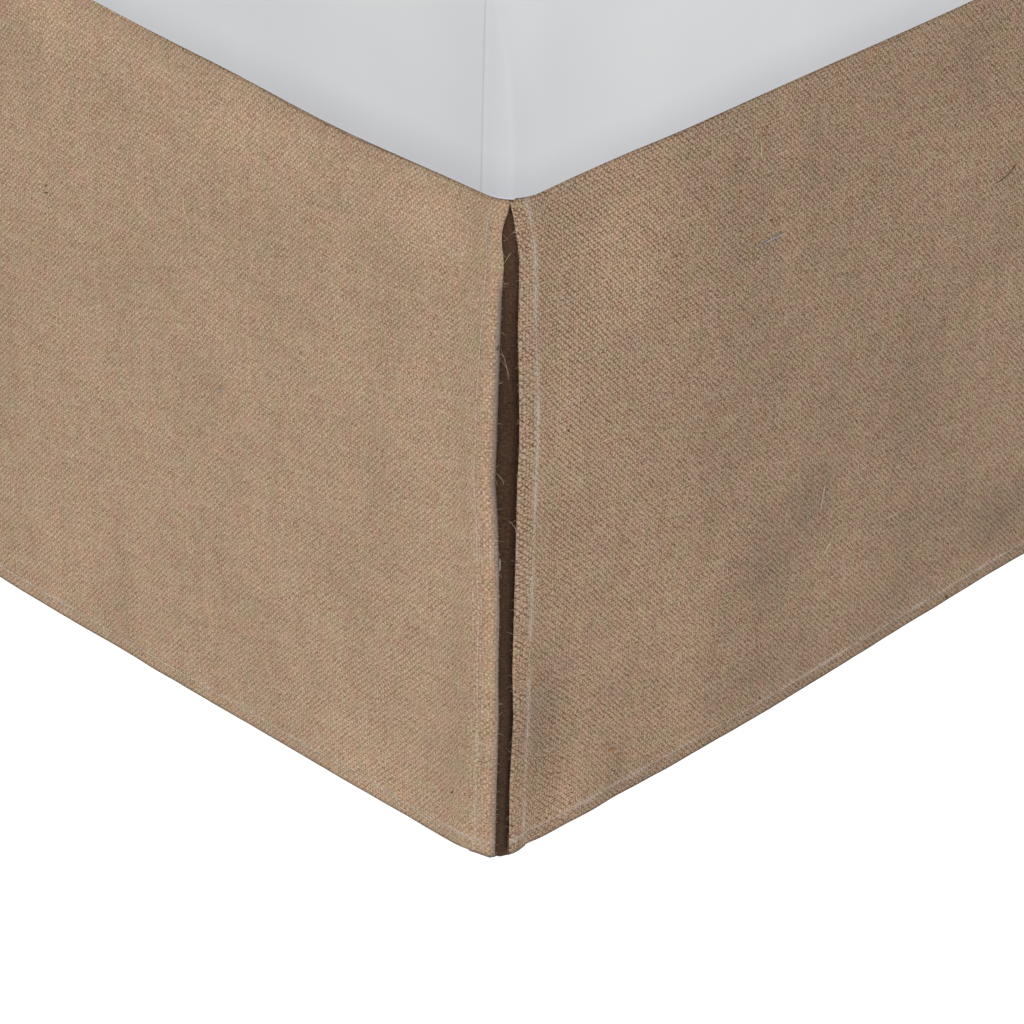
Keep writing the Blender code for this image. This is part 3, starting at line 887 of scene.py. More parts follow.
def hem_rise(waves, place, down):
    """How far the waves of the hem lift a point, more and more towards the hem."""
    lift = sum(wave["rise"] * MM * bell(wave, place) for wave in waves)
    return lift * (down / DROP) ** 2


def top_rise(tops, place):
    """How far the top fold rises at a place along a panel."""
    return sum(top["rise"] * MM * bell(top, place) for top in tops)


def unevenness(seed, place, down):
    """The small swells of hanging burlap, and the pucker along its stitched hem."""
    broad = noise.noise(Vector((place * 9, down * 7, seed)))
    small = noise.noise(Vector((place * 42, down * 30, seed + 9)))
    pucker = noise.noise(Vector((place * 62, seed, 4.0)))
    hemmed = smooth_step(DROP - 22 * MM, DROP - 8 * MM, down)
    loose = smooth_step(4 * MM, 50 * MM, down)
    return (0.5 * broad + 0.14 * small) * MM * loose + 0.22 * MM * pucker * hemmed


def split_edge(panel, end, down, inset):
    """Where a panel's hemmed edge stands. The split closes to a seam gap over the turned top."""
    key = panel["splits"][end]
    if key is None:
        return 0.0
    toward = 1 if key == "side" else -1
    if inset > FOLD_RADIUS:
        middle = (SPLIT[0]["foot"] + SPLIT[0]["side"]) / 2 * MM
        half_gap = SEAM_GAP * CORNER_RADIUS / (CORNER_RADIUS - inset)
        return toward * middle + half_gap
    return toward * read_table(SPLIT, key, down)


def hang(panel, end, x, down, inset=0.0, depth=0.0, facing=(1.0, 0.0)):
    """Where a point of a panel hangs. x is from the folded edge at one end, down is from the top
    fold, inset is along the turned top, and depth is behind the outer face, which faces out and up."""
    edge = split_edge(panel, end, down, inset)
    place = x + edge * (1 - smooth_step(0, EDGE_SPREAD, x))
    if end:
        place = panel["run"] - place
    still = 1 - inset / TURN_IN
    curl = panel["curls"][end] * smooth_step(15 * MM, 60 * MM, down)
    curl *= max(0.0, 1 - x / CURL_REACH) ** 2
    swell = stand_out(panel["folds"], place, down) + unevenness(panel["seed"], place, down)
    out = swell * still - curl - inset - depth * facing[0]
    height = SKIRT_TOP - down - depth * facing[1] + hem_rise(panel["waves"], place, down)
    still_top = (1 - smooth_step(0, TOP_REACH, down)) * (1 - smooth_step(3 * MM, 8 * MM, inset))
    height += top_rise(panel["tops"], place) * still_top
    side = panel["side"]
    if side:
        along, out = round_corner(place, out)
        return Vector((side * (HALF_WIDTH + out), FOOT_Y + along, height))
    if place < panel["run"] / 2:
        along, out = round_corner(place, out)
        return Vector((HALF_WIDTH - along, FOOT_Y - out, height))
    along, out = round_corner(panel["run"] - place, out)
    return Vector((along - HALF_WIDTH, FOOT_Y - out, height))


def end_reach(panel, end):
    """How far a panel is worked from one of its ends."""
    return panel["run"] - panel["middle"] if end else panel["middle"]


def end_columns(end, reach, fine):
    """Columns of a panel from the raw edge of one end's hem, round its fold, and along the face."""
    half = LAYER / 2
    columns = []
    for back in (SIDE_HEM, 8 * MM, 5 * MM, 2 * MM):
        flat = -half * math.pi / 2 - back
        columns.append({"end": end, "x": half + back, "depth": LAYER, "flat": flat})
    for turn in range(HEM_TURNS, -1, -1):
        angle = math.pi * turn / HEM_TURNS
        x = half - half * math.sin(angle)
        depth = half * (1 - math.cos(angle))
        columns.append({"end": end, "x": x, "depth": depth, "flat": half * (math.pi / 2 - angle)})
    x = 2 * MM
    while x < reach - 4 * MM:
        columns.append({"end": end, "x": x, "depth": 0.0, "flat": x})
        x += 2 * MM if x < 30 * MM else 5 * MM if x < fine else 10 * MM
    return columns


def panel_rows():
    """Rows of a panel: the turned-in top, its fold, the face, and round and up into the hem."""
    rows = []
    quarter = FOLD_RADIUS * math.pi / 2
    for inset in (TURN_IN, 12 * MM, 9 * MM, 6 * MM):
        flat = FOLD_RADIUS - quarter - (inset - FOLD_RADIUS)
        rows.append({"inset": inset, "down": 0.0, "facing": (0.0, 1.0), "flat": flat})
    for step in range(6, -1, -1):
        angle = math.pi / 2 * step / 6
        rows.append(
            {
                "inset": FOLD_RADIUS * (1 - math.cos(angle)),
                "down": FOLD_RADIUS * (1 - math.sin(angle)),
                "facing": (math.cos(angle), math.sin(angle)),
                "flat": FOLD_RADIUS - FOLD_RADIUS * angle,
            }
        )
    down = FOLD_RADIUS
    while down < DROP - 8 * MM:
        down += 2 * MM if down < 30 * MM else 4.8 * MM
        rows.append({"inset": 0.0, "down": down, "facing": (1.0, 0.0), "flat": down})
    for turn in range(HEM_TURNS + 1):
        angle = math.pi * turn / HEM_TURNS
        rows.append({"inset": 0.0, "around": angle, "back": 0.0, "facing": (1.0, 0.0)})
    for back in (3 * MM, 6 * MM, BOTTOM_HEM):
        rows.append({"inset": 0.0, "around": math.pi, "back": back, "facing": (1.0, 0.0)})
    return rows


def panel_spot(panel, column, row):
    """A point of a panel's net and its spot on the flat cloth."""
    end, x, depth = column["end"], column["x"], column["depth"]
    u = panel["run"] - column["flat"] if end else column["flat"]
    if "around" not in row:
        point = hang(panel, end, x, row["down"], row["inset"], depth, row["facing"])
        return point, (u, row["flat"])
    stacked = 1 - smooth_step(SIDE_HEM + MM, 2 * SIDE_HEM, x)
    half = LAYER * (0.5 + stacked) - depth
    angle = row["around"]
    down = DROP - half + half * math.sin(angle) - row["back"]
    depth += half * (1 - math.cos(angle))
    v = DROP - half + half * angle + row["back"]
    return hang(panel, end, x, down, 0.0, depth), (u, v)


# Soft places of painted light (plus) and painted shade (minus), where the folds catch or lose the light:
# at and reach are millimetres along a panel from its edge and down from its top fold
FOOT_PAINTED_SHADING = (
    {"at": (200, 26), "reach": (120, 36), "gain": 0.14},
    {"at": (60, 30), "reach": (80, 40), "gain": 0.12},
    {"at": (335, 24), "reach": (90, 32), "gain": 0.11},
    {"at": (90, 386), "reach": (100, 36), "gain": 0.09},
    {"at": (295, 345), "reach": (14, 75), "gain": -0.07},
    {"at": (82, 190), "reach": (14, 80), "gain": -0.07},
    {"at": (232, 100), "reach": (60, 45), "gain": -0.05},
    {"at": (212, 196), "reach": (20, 26), "gain": -0.05},
    {"at": (395, 270), "reach": (36, 170), "gain": -0.08},
    {"at": (24, 335), "reach": (26, 80), "gain": -0.05},
)
RIGHT_PAINTED_SHADING = (
    {"at": (67, 48), "reach": (50, 90), "gain": 0.14},
    {"at": (126, 314), "reach": (38, 100), "gain": 0.08},
    {"at": (19, 330), "reach": (30, 90), "gain": -0.23},
    {"at": (42, 388), "reach": (18, 32), "gain": 0.14},
    {"at": (85, 388), "reach": (14, 26), "gain": -0.16},
    {"at": (141, 385), "reach": (35, 40), "gain": 0.06},
    {"at": (178, 110), "reach": (36, 150), "gain": -0.10},
    {"at": (208, 296), "reach": (48, 68), "gain": -0.20},
    {"at": (249, 274), "reach": (34, 50), "gain": -0.17},
    {"at": (290, 128), "reach": (26, 50), "gain": 0.07},
    {"at": (435, 364), "reach": (62, 40), "gain": -0.16},
    {"at": (358, 374), "reach": (60, 28), "gain": -0.12},
    {"at": (212, 375), "reach": (70, 28), "gain": -0.10},
    {"at": (217, 175), "reach": (45, 120), "gain": -0.06},
    {"at": (355, 335), "reach": (62, 36), "gain": -0.13},
    {"at": (331, 240), "reach": (70, 100), "gain": -0.08},
    {"at": (370, 40), "reach": (40, 50), "gain": -0.08},
    {"at": (20, 14), "reach": (16, 20), "gain": -0.07},
)

panel_finishes = {
    "drop_foot": burlap(
        "burlap_foot",
        1.0,
        (170, 142, 115),
        fuzz=1.05,
        lean=0.6,
        pitch=1.60 * MM,
        end_contrast=0.8,
        end_gather=0.35,
        run=FOOT_RUN,
        curled=True,
        rubbed=(0.2, 0.6),
        hem_tone=1.0,
        mottle=0.20,
        painted_shading=FOOT_PAINTED_SHADING,
    ),
    # painted shade: the same jute as the foot's, given a darker colour, a stronger weave contrast and a tone
    # that darkens away from the corner
    "drop_right": burlap(
        "burlap_right",
        2.0,
        (152, 125, 100),
        contrast=1.3,
        near_contrast=0.8,
        fuzz=1.75,
        far_painted_shade=0.89,
        lean=0.66,
        pitch=1.78 * MM,
        end_contrast=1.05,
        end_gather=0.12,
        run=SIDE_RUN,
        rubbed=(0.5, 0.65),
        hem_tone=0.90,
        mottle=0.30,
        tinge=0.6,
        painted_shading=RIGHT_PAINTED_SHADING,
    ),
    "drop_left": burlap("burlap_left", 4.0, (168, 140, 114), run=SIDE_RUN, hem_tone=0.92, mottle=0.12),
}
ROWS = panel_rows()
for panel in PANELS:
    start_end = end_columns(0, end_reach(panel, 0), panel["fine"][0])
    far_end = end_columns(1, end_reach(panel, 1), panel["fine"][1])
    if panel["side"] == 1:
        columns = start_end + far_end[::-1]
    else:
        columns = far_end + start_end[::-1]
    maker = woven_grid(
        len(columns),
        len(ROWS),
        lambda column, row, p=panel, c=columns: panel_spot(p, c[column], ROWS[row]),
    )
    piece = add_piece(panel["name"], maker, panel_finishes[panel["name"]])
    thicken(piece)
    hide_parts(panel["node"])
    panel["piece"] = piece

# ---------------------------------------------------------------------------------------------
# The stitching. A machine row of pale thread along every hem. It is greyer on the sides, where it
# lies half sunk between the coarse threads, and yellower on the foot, where it stands a little proud.
# ---------------------------------------------------------------------------------------------

STITCH_PITCH = 3.3 * MM
STITCH_LENGTH = 2.5 * MM
FIRST_STITCH = 9 * MM  # from the top fold, in the rows down the ends
LAST_STITCH = 3 * MM  # from the hem
SLACK = 1.1  # how much the stitches rise and sink along a row, as a part of their radius
SUNKEN = 0.7  # how much deeper they lie low down the ends, in the same way
SINKING = (290 * MM, 335 * MM)  # where they come to lie deeper, from the top fold


def stitch_placing(start, finish, outward, radius, lift):
    """Where one stitch lies between two points on the face, lifted by a part of its radius."""
    run = finish - start
    run_length = run.length
    run.normalize()
    across = run.cross(outward).normalized()
    up = across.cross(run)
    shape = Matrix.Translation((start + finish) / 2 + up * (lift * radius))
    turned = Matrix((across, up, run)).transposed().to_4x4()
    size = Matrix.Diagonal((radius, radius * 0.8, run_length / 2, 1.0))
    return shape @ turned @ size


def outward_at(panel, end, x, down):
    """The direction in which a panel's face looks at a spot."""
    here = hang(panel, end, x, down)
    behind = hang(panel, end, x, down, depth=MM)
    return (here - behind).normalized()


def stitch_row(panel, end, chance, spots):
    """Stitches along a row of (x, down) spots; the draw moves each one slightly."""
    placings = []
    sunk, risen = panel["proud"]
    for (x0, down0), (x1, down1) in zip(spots[::2], spots[1::2]):
        slack = noise.noise(Vector((x0 * 22, down0 * 22, panel["seed"] + end))) * SLACK
        if x0 == x1:
            slack -= smooth_step(*SINKING, down0) * SUNKEN
        wobble = chance.uniform(-0.12, 0.12) * MM
        x_shift = wobble if x0 == x1 else 0.0
        down_shift = 0.0 if x0 == x1 else wobble
        first = hang(panel, end, x0 + x_shift, down0 + down_shift)
        last = hang(panel, end, x1 + x_shift, down1 + down_shift)
        outward = outward_at(panel, end, x0, down0)
        thick = panel["thread"][0 if x0 == x1 else 1] * chance.uniform(0.8, 1.1)
        placings.append(stitch_placing(first, last, outward, thick, chance.uniform(sunk, risen) + slack))
    return placings


def joined_copies(bead, placings):
    """One mesh of many copies of a small shape, each moved, turned and sized by its placing."""
    bead.verts.index_update()
    points = np.array([(*vert.co, 1.0) for vert in bead.verts])
    corners = [[vert.index for vert in face.verts] for face in bead.faces]
    moved = np.einsum("nij,pj->npi", np.array(placings), points)[:, :, :3]
    copies = bpy.data.meshes.new("copies")
    faces = [
        [corner + copy * len(points) for corner in face]
        for copy in range(len(placings))
        for face in corners
    ]
    copies.from_pydata(moved.reshape(-1, 3).tolist(), [], faces)
    maker = bmesh.new()
    maker.from_mesh(copies)
    bpy.data.meshes.remove(copies)
    return maker


def flecked_finish(name, dark, light, roughness, flecks, strength, depth):
    """Spun thread or dry plant fibre with a slightly uneven tone."""
    finish, start, shader = start_finish(name, roughness)
    place = start.node("TexCoord").pick("Object")
    fleck = place.node("TexNoise", {"Vector": place, "Scale": flecks, "Detail": 2.0})
    tone = step_up(fleck, 0.35, 0.65)
    feed(start.tree, shader.inputs["Base Color"], blend(tone, screen(*dark), screen(*light)))
    bump = fleck.node("Bump", {"Height": fleck, "Strength": strength, "Distance": depth})
    feed(start.tree, shader.inputs["Normal"], bump)
    return finish


THREAD_SURFACE = (0.8, 260.0, 0.5, 0.1 * MM)  # roughness, flecks, and relief's strength and depth
stitch_finish = flecked_finish("stitch_thread", (182, 171, 162), (214, 205, 198), *THREAD_SURFACE)
# the foot's thread, yellower and paler than the sides'
foot_stitch_finish = flecked_finish(
    "foot_stitch_thread", (194, 178, 158), (222, 209, 190), *THREAD_SURFACE
)
bead = bmesh.new()
bmesh.ops.create_uvsphere(bead, u_segments=6, v_segments=4, radius=1.0)
for panel in PANELS:
    chance = random.Random(panel["name"])
    placings = []
    for end in (0, 1):
        spots = []
        down = FIRST_STITCH
        while down < DROP - LAST_STITCH:
            spots += [(SIDE_ROW, down), (SIDE_ROW, down + STITCH_LENGTH)]
            down += STITCH_PITCH
        placings += stitch_row(panel, end, chance, spots)
        spots = []
        x = SIDE_ROW + panel["row_start"]
        reach = end_reach(panel, end)
        while x < reach - STITCH_LENGTH:
            spots += [(x, DROP - BOTTOM_ROW), (x + STITCH_LENGTH, DROP - BOTTOM_ROW)]
            x += STITCH_PITCH
        placings += stitch_row(panel, end, chance, spots)
    maker = joined_copies(bead, placings)
    name = panel["name"].replace("drop", "stitches")
    finish = stitch_finish if panel["side"] else foot_stitch_finish
    panel["stitches"] = add_piece(name, maker, finish)
bead.free()

# ---------------------------------------------------------------------------------------------
# Loose jute. Hairs that stand off the coarse spun threads on the panels' faces, along the split
# edges and under the hems, and the odd thick, pale or dark fibre spun or caught in the weave.
# ---------------------------------------------------------------------------------------------

HAIR_RADIUS = 0.05 * MM
FACE_HAIRS = 260  # for each metre of panel
EDGE_HAIR_PITCH = 1.5 * MM
HEM_HAIR_PITCH = 6 * MM

# Fibres that stand out one by one, from one place to another, in millimetres from the folded edge
# and down from the top fold; thick is a radius and lift is how far the middle stands off the face
CAUGHT_FIBRES = (
    {"on": "drop_foot", "from": (239, 86), "to": (232, 102), "thick": 0.20, "lift": 0.5, "kind": "pale"},
    {"on": "drop_foot", "from": (350, 121), "to": (352, 123), "thick": 0.5, "lift": 0.1, "kind": "dark"},
    {"on": "drop_foot", "from": (350, 126), "to": (353, 127), "thick": 0.5, "lift": 0.1, "kind": "dark"},
    {"on": "drop_foot", "from": (269, 87), "to": (272, 88), "thick": 0.6, "lift": 0.1, "kind": "russet"},
    {"on": "drop_foot", "from": (207, 193), "to": (209, 196), "thick": 0.9, "lift": 0.0, "kind": "grey"},
    {"on": "drop_foot", "from": (22, 371), "to": (24, 373), "thick": 0.6, "lift": 0.0, "kind": "dark"},
    {"on": "drop_foot", "from": (0.5, 84), "to": (1.2, 87), "thick": 0.6, "lift": 0.2, "kind": "dark"},
    {"on": "drop_foot", "from": (-0.4, 212), "to": (-0.2, 220), "thick": 0.5, "lift": 0.5, "kind": "grey"},
    {"on": "drop_foot", "from": (-0.3, 37), "to": (-4.6, 31), "thick": 0.11, "lift": 0.3, "kind": "pale"},
    {"on": "drop_foot", "from": (-0.3, 86), "to": (-4.0, 104), "thick": 0.05, "lift": 1.5, "kind": "pale"},
    {"on": "drop_foot", "from": (-0.2, 92), "to": (-4.6, 106), "thick": 0.05, "lift": 1.0, "kind": "pale"},
    {"on": "drop_foot", "from": (-0.2, 160), "to": (-3.6, 168), "thick": 0.07, "lift": 1.0, "kind": "pale"},
    {"on": "drop_right", "from": (-0.2, 196), "to": (-3.2, 188), "thick": 0.07, "lift": 1.0, "kind": "pale"},
    {"on": "drop_right", "from": (187, 27), "to": (188, 38), "thick": 0.22, "lift": 0.5, "kind": "pale"},
    {"on": "drop_right", "from": (186, 90.5), "to": (209, 90), "thick": 0.45, "lift": 0.2, "kind": "grey"},
    {"on": "drop_right", "from": (196, 78), "to": (198, 79), "thick": 0.7, "lift": 0.1, "kind": "dark"},
    {"on": "drop_right", "from": (394, 125), "to": (415, 118), "thick": 0.26, "lift": 0.3, "kind": "dark"},
    {"on": "drop_right", "from": (337, 178), "to": (338, 180), "thick": 0.6, "lift": 0.1, "kind": "dark"},
    {"on": "drop_right", "from": (261, 321), "to": (271, 309), "thick": 0.20, "lift": 0.6, "kind": "pale"},
    {"on": "drop_right", "from": (257, 287), "to": (260, 268), "thick": 0.18, "lift": 0.6, "kind": "pale"},
    {"on": "drop_right", "from": (210, 393), "to": (212, 394), "thick": 0.7, "lift": 0.1, "kind": "dark"},
    {"on": "drop_right", "from": (388, 402), "to": (389, 404), "thick": 0.8, "lift": 0.3, "kind": "dark"},
    {"on": "drop_right", "from": (32, 145), "to": (33, 147), "thick": 0.6, "lift": 0.1, "kind": "dark"},
    {"on": "drop_right", "from": (76, 371), "to": (84, 373), "thick": 1.0, "lift": 0.1, "kind": "russet"},
)
FIBRE_COLOURS = {
    "pale": ((206, 186, 156), (232, 218, 194)),
    "grey": ((128, 124, 126), (162, 157, 158)),
    "dark": ((72, 54, 42), (98, 76, 60)),
    "russet": ((138, 94, 62), (164, 118, 82)),
}


def face_fibre(panel, end, first, last, lift, bow):
    """A fibre from one spot of a face to another, lifted off it and bowed sideways in between."""
    points = []
    steps = 6
    across = Vector((first[1] - last[1], last[0] - first[0]))
    for step in range(steps + 1):
        share = step / steps
        arch = math.sin(math.pi * share)
        x = first[0] + (last[0] - first[0]) * share + across.x * bow * arch
        down = first[1] + (last[1] - first[1]) * share + across.y * bow * arch
        points.append(hang(panel, end, x, down) + outward_at(panel, end, x, down) * lift * arch)
    return points


def loose_hair(root, direction, length, chance):
    """A hair from a root, along a direction, that bends more and more one way."""
    bend = Vector([chance.gauss(0, 1) for axis in range(3)]).normalized() * chance.uniform(0.1, 0.9)
    points = []
    for step in range(5):
        share = step / 4
        points.append(root + (direction + bend * share * share) * (length * share))
    return points


HAIR_SIZES = (1.0, 1.0, 0.9, 0.75, 0.4)
FIBRE_SURFACE = (0.7, 320.0, 0.4, 0.05 * MM)  # as for the thread
fibre_finishes = {
    kind: flecked_finish("fibre_" + kind, *colours, *FIBRE_SURFACE)
    for kind, colours in FIBRE_COLOURS.items()
}
for panel in PANELS:
    chance = random.Random("hairs of " + panel["name"])
    hairs = []
    for number in range(round(FACE_HAIRS * panel["run"])):
        end = number % 2
        reach = end_reach(panel, end)
        x = chance.uniform(MM, reach)
        down = chance.uniform(4 * MM, DROP - 4 * MM)
        outward = outward_at(panel, end, x, down)
        aim = Vector([chance.gauss(0, 1) for axis in range(3)])
        aim -= outward * aim.dot(outward)
        direction = aim.normalized() + outward * chance.uniform(0.02, 0.5)
        length = chance.uniform(1.5, 7.0) * MM * (2 if chance.random() < 0.06 else 1)
        hairs.append((loose_hair(hang(panel, end, x, down), direction, length, chance), HAIR_SIZES, False))
    for end, split in enumerate(panel["splits"]):
        down = 12 * MM
        while split and down < DROP:
            down += EDGE_HAIR_PITCH * chance.uniform(0.3, 1.8)
            depth = LAYER * chance.random()
            root = hang(panel, end, 0.4 * MM, min(down, DROP - MM), depth=depth)
            over_edge = root - hang(panel, end, 2 * MM, min(down, DROP - MM), depth=depth)
            direction = over_edge.normalized() + Vector((0, 0, chance.uniform(-1.2, 1.2)))
            length = chance.uniform(0.3, 1.1) * MM * (3 if chance.random() < 0.2 else 1)
            hairs.append((loose_hair(root, direction, length, chance), HAIR_SIZES, False))
        reach = end_reach(panel, end)
        x = 2 * MM
        while x < reach:
            x += HEM_HAIR_PITCH * chance.uniform(0.3, 1.7)
            root = hang(panel, end, x, DROP - 0.5 * MM, depth=LAYER * chance.random())
            sideways = hang(panel, end, x + MM, DROP - 0.5 * MM) - hang(panel, end, x, DROP - 0.5 * MM)
            direction = Vector((0, 0, -0.7)) + sideways.normalized() * chance.uniform(-1.2, 1.2)
            length = chance.uniform(0.6, 2.4) * MM
            hairs.append((loose_hair(root, direction, length, chance), HAIR_SIZES, False))
    name = panel["name"].replace("drop", "hairs")
    panel["with"] = [
        panel["stitches"],
        add_piece(name, tube_mesh(hairs, HAIR_RADIUS, 0), fibre_finishes["pale"]),
    ]
    for kind, finish in fibre_finishes.items():
        fibres = []
        for row in CAUGHT_FIBRES:
            if (row["on"], row["kind"]) != (panel["name"], kind):
                continue
            first = [value * MM for value in row["from"]]
            last = [value * MM for value in row["to"]]
            points = face_fibre(panel, 0, first, last, row["lift"] * MM, chance.uniform(-0.12, 0.12))
            sizes = [row["thick"] * size for size in (0.35, 0.8, 1.0, 0.9, 1.0, 0.8, 0.3)]
            fibres.append((points, sizes, False))
        if fibres:
            name = panel["name"].replace("drop", kind + "_fibres")
            panel["with"].append(add_piece(name, tube_mesh(fibres, MM, 1), finish))

for panel in PANELS:
    panel["run"] + 2 * SIDE_HEM

# ---------------------------------------------------------------------------------------------
# The mattress. A soft block in a fitted white cotton sheet that is drawn smooth over it; the
# sheet's corner seams run up beside the foot corners, and its lower edge swells over the top fold.
# ---------------------------------------------------------------------------------------------

MATTRESS_CORNER = 21 * MM
MATTRESS_EDGE = 1.3 * MM  # radius where the drawn sheet turns under the mattress
MATTRESS_TOP_EDGE = 14 * MM
LIP = 0.2 * MM  # how far the sheet's lower edge hangs over the skirt's top fold
CORNER_SEAM = 22.8 * MM  # from the mattress's foot corners to the sheet's corner seams, at the bottom
SEAM_SLANT = 0.016  # how much nearer they come to the corner for each metre up

mattress_low, mattress_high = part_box("mattress")


def mattress_finish():
    """White cotton sheeting: very fine threads and a slow drift of tone, with painted shade and painted
    highlights at its seams, its foot corners and its lower edge.
    """
    finish, start, shader = start_finish("white_sheeting", 0.8)
    place = start.node("TexCoord").pick("Object")
    drift = place.node("TexNoise", {"Vector": place, "Scale": 9.0, "Detail": 3.0})
    fuzz = place.node("TexNoise", {"Vector": place, "Scale": 1500.0, "Detail": 1.0})
    tone = step_up(drift, 0.3, 0.7)
    colour = blend(tone, screen(218, 219, 221), screen(222, 223, 224))

    # the corner seams of the fitted sheet: a thin painted shadow with a low ridge beside it that gets a
    # painted highlight, on the foot
    spot = place.node("SeparateXYZ", {"Vector": place})
    height = spot.pick("Z") - mattress_low.z
    from_side = mattress_high.x - abs(spot.pick("X"))
    from_seam = from_side - (CORNER_SEAM - height * SEAM_SLANT)
    on_foot = 1.0 - step_up(spot.pick("Y"), mattress_low.y + 20 * MM, mattress_low.y + 30 * MM)
    shadow = (1.0 - step_up(abs(from_seam), 0.1 * MM, 1.0 * MM)) * on_foot
    ridge = (1.0 - step_up(abs(from_seam + 1.8 * MM), 0.3 * MM, 2.0 * MM)) * on_foot
    colour = blend(shadow * 0.75, colour, (0.80, 0.80, 0.83, 1.0), "MULTIPLY")
    colour = blend(ridge * 0.4, colour, (1.05, 1.05, 1.07, 1.0), "MULTIPLY")

    # a soft crease that leans over each foot corner, painted as a highlight with painted shade in the hollow
    # beside it, and painted shade under the swelling side
    past_corner = spot.pick("Y") - mattress_low.y - from_side
    leaning = -2.5 * MM - 16.5 * MM * (height / 0.118).math("MAXIMUM", 0.0) ** 2.5
    from_crease = past_corner - leaning
    painted_crease_highlight = 1.0 - step_up(abs(from_crease), 0.3 * MM, 3.0 * MM)
    hollow = step_up(from_crease, 1 * MM, 6 * MM) * (1.0 - step_up(from_crease, 8 * MM, 24 * MM))
    hollow = hollow * (1.0 - step_up(height, 50 * MM, 95 * MM))
    colour = blend(painted_crease_highlight * 0.5, colour, (1.045, 1.045, 1.05, 1.0), "MULTIPLY")
    colour = blend(hollow * 0.7, colour, (0.95, 0.95, 0.96, 1.0), "MULTIPLY")
    low_shade = 1.0 - step_up(height, -4 * MM, 28 * MM)
    colour = blend(low_shade, colour, (0.83, 0.83, 0.85, 1.0), "MULTIPLY")
    broad_shade = 1.0 - step_up(height, 10 * MM, 125 * MM)
    colour = blend(broad_shade, colour, (0.955, 0.955, 0.955, 1.0), "MULTIPLY")
    # painted shade near each foot corner
    from_corner = from_side + spot.pick("Y") - mattress_low.y
    painted_corner_shade = 1.0 - step_up(from_corner, 10 * MM, 105 * MM)
    colour = blend(painted_corner_shade, colour, (0.965, 0.965, 0.965, 1.0), "MULTIPLY")
    # a painted highlight along the sheet's lower edge, just short of each foot corner
    rim = step_up(past_corner, -18 * MM, -12 * MM) * (1.0 - step_up(past_corner, 0.0, 5 * MM))
    rim = rim * (1.0 - step_up(height, 0.4 * MM, 1.6 * MM))
    colour = blend(rim * 0.8, colour, screen(222, 218, 242))
    feed(start.tree, shader.inputs["Base Color"], colour)
    raised = fuzz + ridge * 2.0
    bump = fuzz.node("Bump", {"Height": raised, "Strength": 0.4, "Distance": 0.1 * MM})
    feed(start.tree, shader.inputs["Normal"], bump)
    return finish


def lip_rise(spot):
    """How far the mattress's lower edge rises or dips over the skirt's top fold at a spot."""
    from_foot = spot.y - FOOT_Y - CORNER_RADIUS + CORNER_ARC / 2
    from_side = HALF_WIDTH - abs(spot.x) - CORNER_RADIUS + CORNER_ARC / 2
    if from_foot > from_side:
        return top_rise(SIDE_TOPS, from_foot)
    return top_rise(FOOT_TOPS, from_side if spot.x > 0 else FOOT_RUN - from_side)


def inside(spot):
    """How far a spot on the mattress lies inside its rounded plan."""
    from_side = mattress_high.x - abs(spot.x)
    from_foot = spot.y - mattress_low.y
    short_side = max(0.0, MATTRESS_CORNER - from_side)
    short_foot = max(0.0, MATTRESS_CORNER - from_foot)
    if short_side and short_foot:
        return MATTRESS_CORNER - math.hypot(short_side, short_foot)
    return min(from_side, from_foot)


maker = rounded_box(
    mattress_low, mattress_high, MATTRESS_CORNER, MATTRESS_EDGE, 0.022, MATTRESS_TOP_EDGE
)
for normal, reach in ((Vector((1, 0, 0)), mattress_high.x), (Vector((0, 1, 0)), -mattress_low.y)):
    for inset in (2.6 * MM, 8 * MM):
        for way in (-1, 1):
            everything = maker.verts[:] + maker.edges[:] + maker.faces[:]
            at = normal * way * (reach - inset)
            bmesh.ops.bisect_plane(maker, geom=everything, plane_co=at, plane_no=normal)
for vert in maker.verts:
    spot = vert.co.copy()
    height = spot.z - mattress_low.z
    inset = inside(spot)
    swell = 3.0 * MM * math.sin(math.pi * height / (mattress_high.z - mattress_low.z))
    swell += 0.6 * MM * noise.noise(spot * 7) * smooth_step(0, 20 * MM, height)
    facing = Vector((spot.x / mattress_high.x, spot.y / mattress_high.y, 0))
    sides = Vector((round(facing.x**9), round(facing.y**9), 0))
    rise = lip_rise(spot)
    under = 1 - smooth_step(1.5 * MM, 2.5 * MM if rise < 0 else 8 * MM, inset)
    hanging = 1 - smooth_step(1.5 * MM, 2.5 * MM, inset)
    vert.co += sides * swell
    vert.co.z += (rise * under - LIP * hanging) * (1 - smooth_step(0, 90 * MM, height))
mattress_piece = add_piece("sheeted_mattress", maker, mattress_finish())
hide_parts("mattress")

# ---------------------------------------------------------------------------------------------
# The studio: a pale floor, three soft lights, one on each side of the corner and one above, and
# the camera looking down on the corner at the photo's angle with a long lens.
# ---------------------------------------------------------------------------------------------

CAMERA_OUT = 1.37608  # from the bed's square foot corner, towards +X
CAMERA_FRONT = 1.47390  # from that corner, away from the foot
CAMERA_HEIGHT = 1.47033
CAMERA_YAW = math.radians(42.889)
CAMERA_PITCH = math.radians(31.578)
CAMERA_ROLL = math.radians(2.0896)

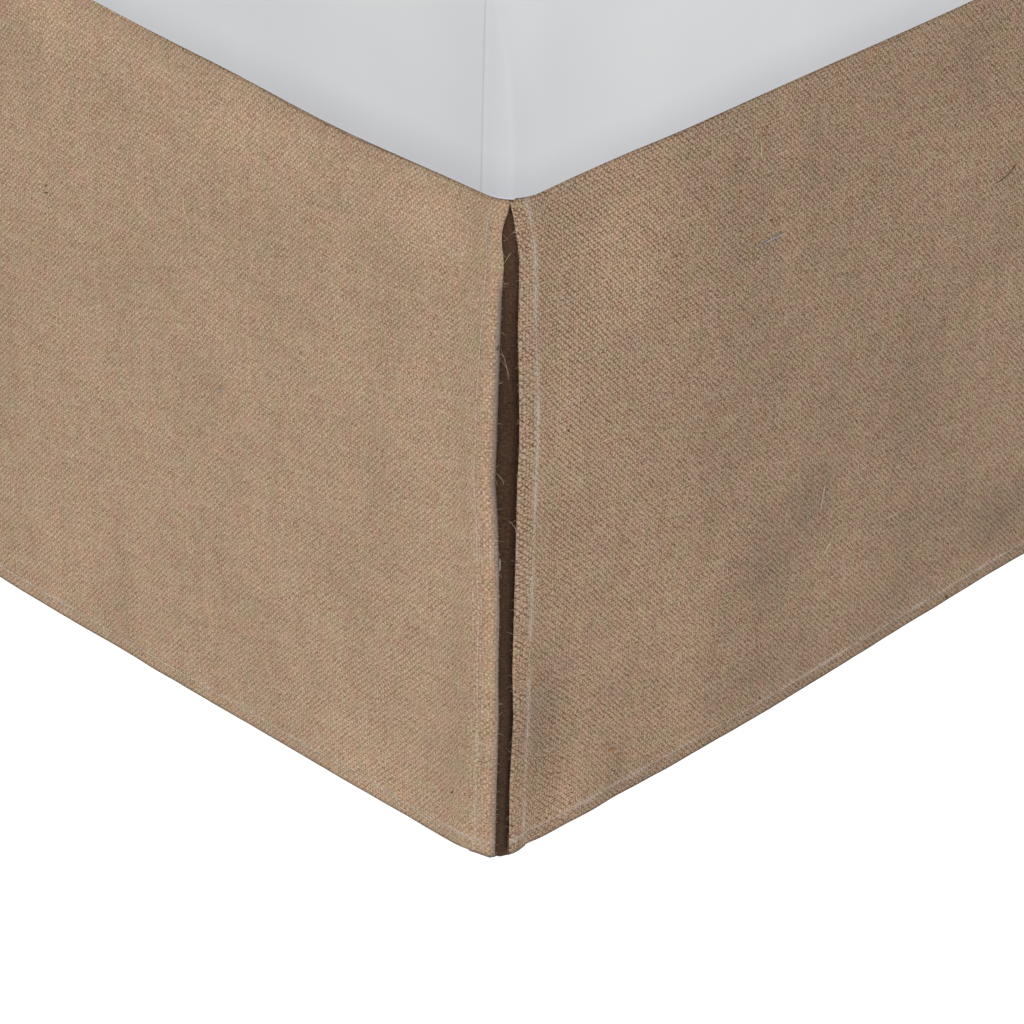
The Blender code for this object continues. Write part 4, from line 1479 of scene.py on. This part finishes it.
maker = bmesh.new()
bmesh.ops.create_grid(maker, x_segments=1, y_segments=1, size=60.0)
floor_mesh = bpy.data.meshes.new("floor")
maker.to_mesh(floor_mesh)
maker.free()
floor = bpy.data.objects.new("floor", floor_mesh)
bpy.context.scene.collection.objects.link(floor)
floor_finish, _, floor_shader = start_finish("pale_floor", 0.9)
floor_shader.inputs["Base Color"].default_value = (0.26, 0.26, 0.26, 1.0)
floor_shader.inputs["Emission Color"].default_value = (1.0, 1.0, 1.0, 1.0)
floor_shader.inputs["Emission Strength"].default_value = 1.0
floor_mesh.materials.append(floor_finish)

world = bpy.data.worlds.new("studio")
bpy.context.scene.world = world
world.use_nodes = True
world.node_tree.nodes["Background"].inputs["Color"].default_value = (1.0, 1.0, 1.0, 1.0)
world.node_tree.nodes["Background"].inputs["Strength"].default_value = 0.20


def add_sun(name, bearing, height, strength, softness):
    """A soft far light from a bearing, in degrees clockwise from the foot's own direction."""
    data = bpy.data.lights.new(name, "SUN")
    data.energy = strength
    data.angle = math.radians(softness)
    lamp = bpy.data.objects.new(name, data)
    lift = math.radians(height)
    turn = math.radians(bearing)
    source = Vector((math.sin(turn) * math.cos(lift), -math.cos(turn) * math.cos(lift), math.sin(lift)))
    lamp.rotation_euler = source.to_track_quat("Z", "Y").to_euler()
    bpy.context.scene.collection.objects.link(lamp)


add_sun("soft_light_foot", -15, 50, 0.44, 35)
add_sun("soft_light_side", 75, 50, 0.86, 35)
add_sun("soft_light_above", 0, 90, 1.2, 10)

camera_data = bpy.data.cameras.new("camera")
camera_data.lens = 158.13
camera_data.sensor_width = 36.0
camera_data.clip_start = 0.05
camera_data.clip_end = 200.0
camera = bpy.data.objects.new("camera", camera_data)
bpy.context.scene.collection.objects.link(camera)
turned = Matrix.Rotation(CAMERA_YAW, 4, "Z") @ Matrix.Rotation(math.pi / 2 - CAMERA_PITCH, 4, "X")
camera.matrix_world = (
    Matrix.Translation((HALF_WIDTH + CAMERA_OUT, FOOT_Y - CAMERA_FRONT, CAMERA_HEIGHT))
    @ turned
    @ Matrix.Rotation(CAMERA_ROLL, 4, "Z")
)
bpy.context.scene.camera = camera
bpy.context.scene.view_settings.view_transform = "Standard"
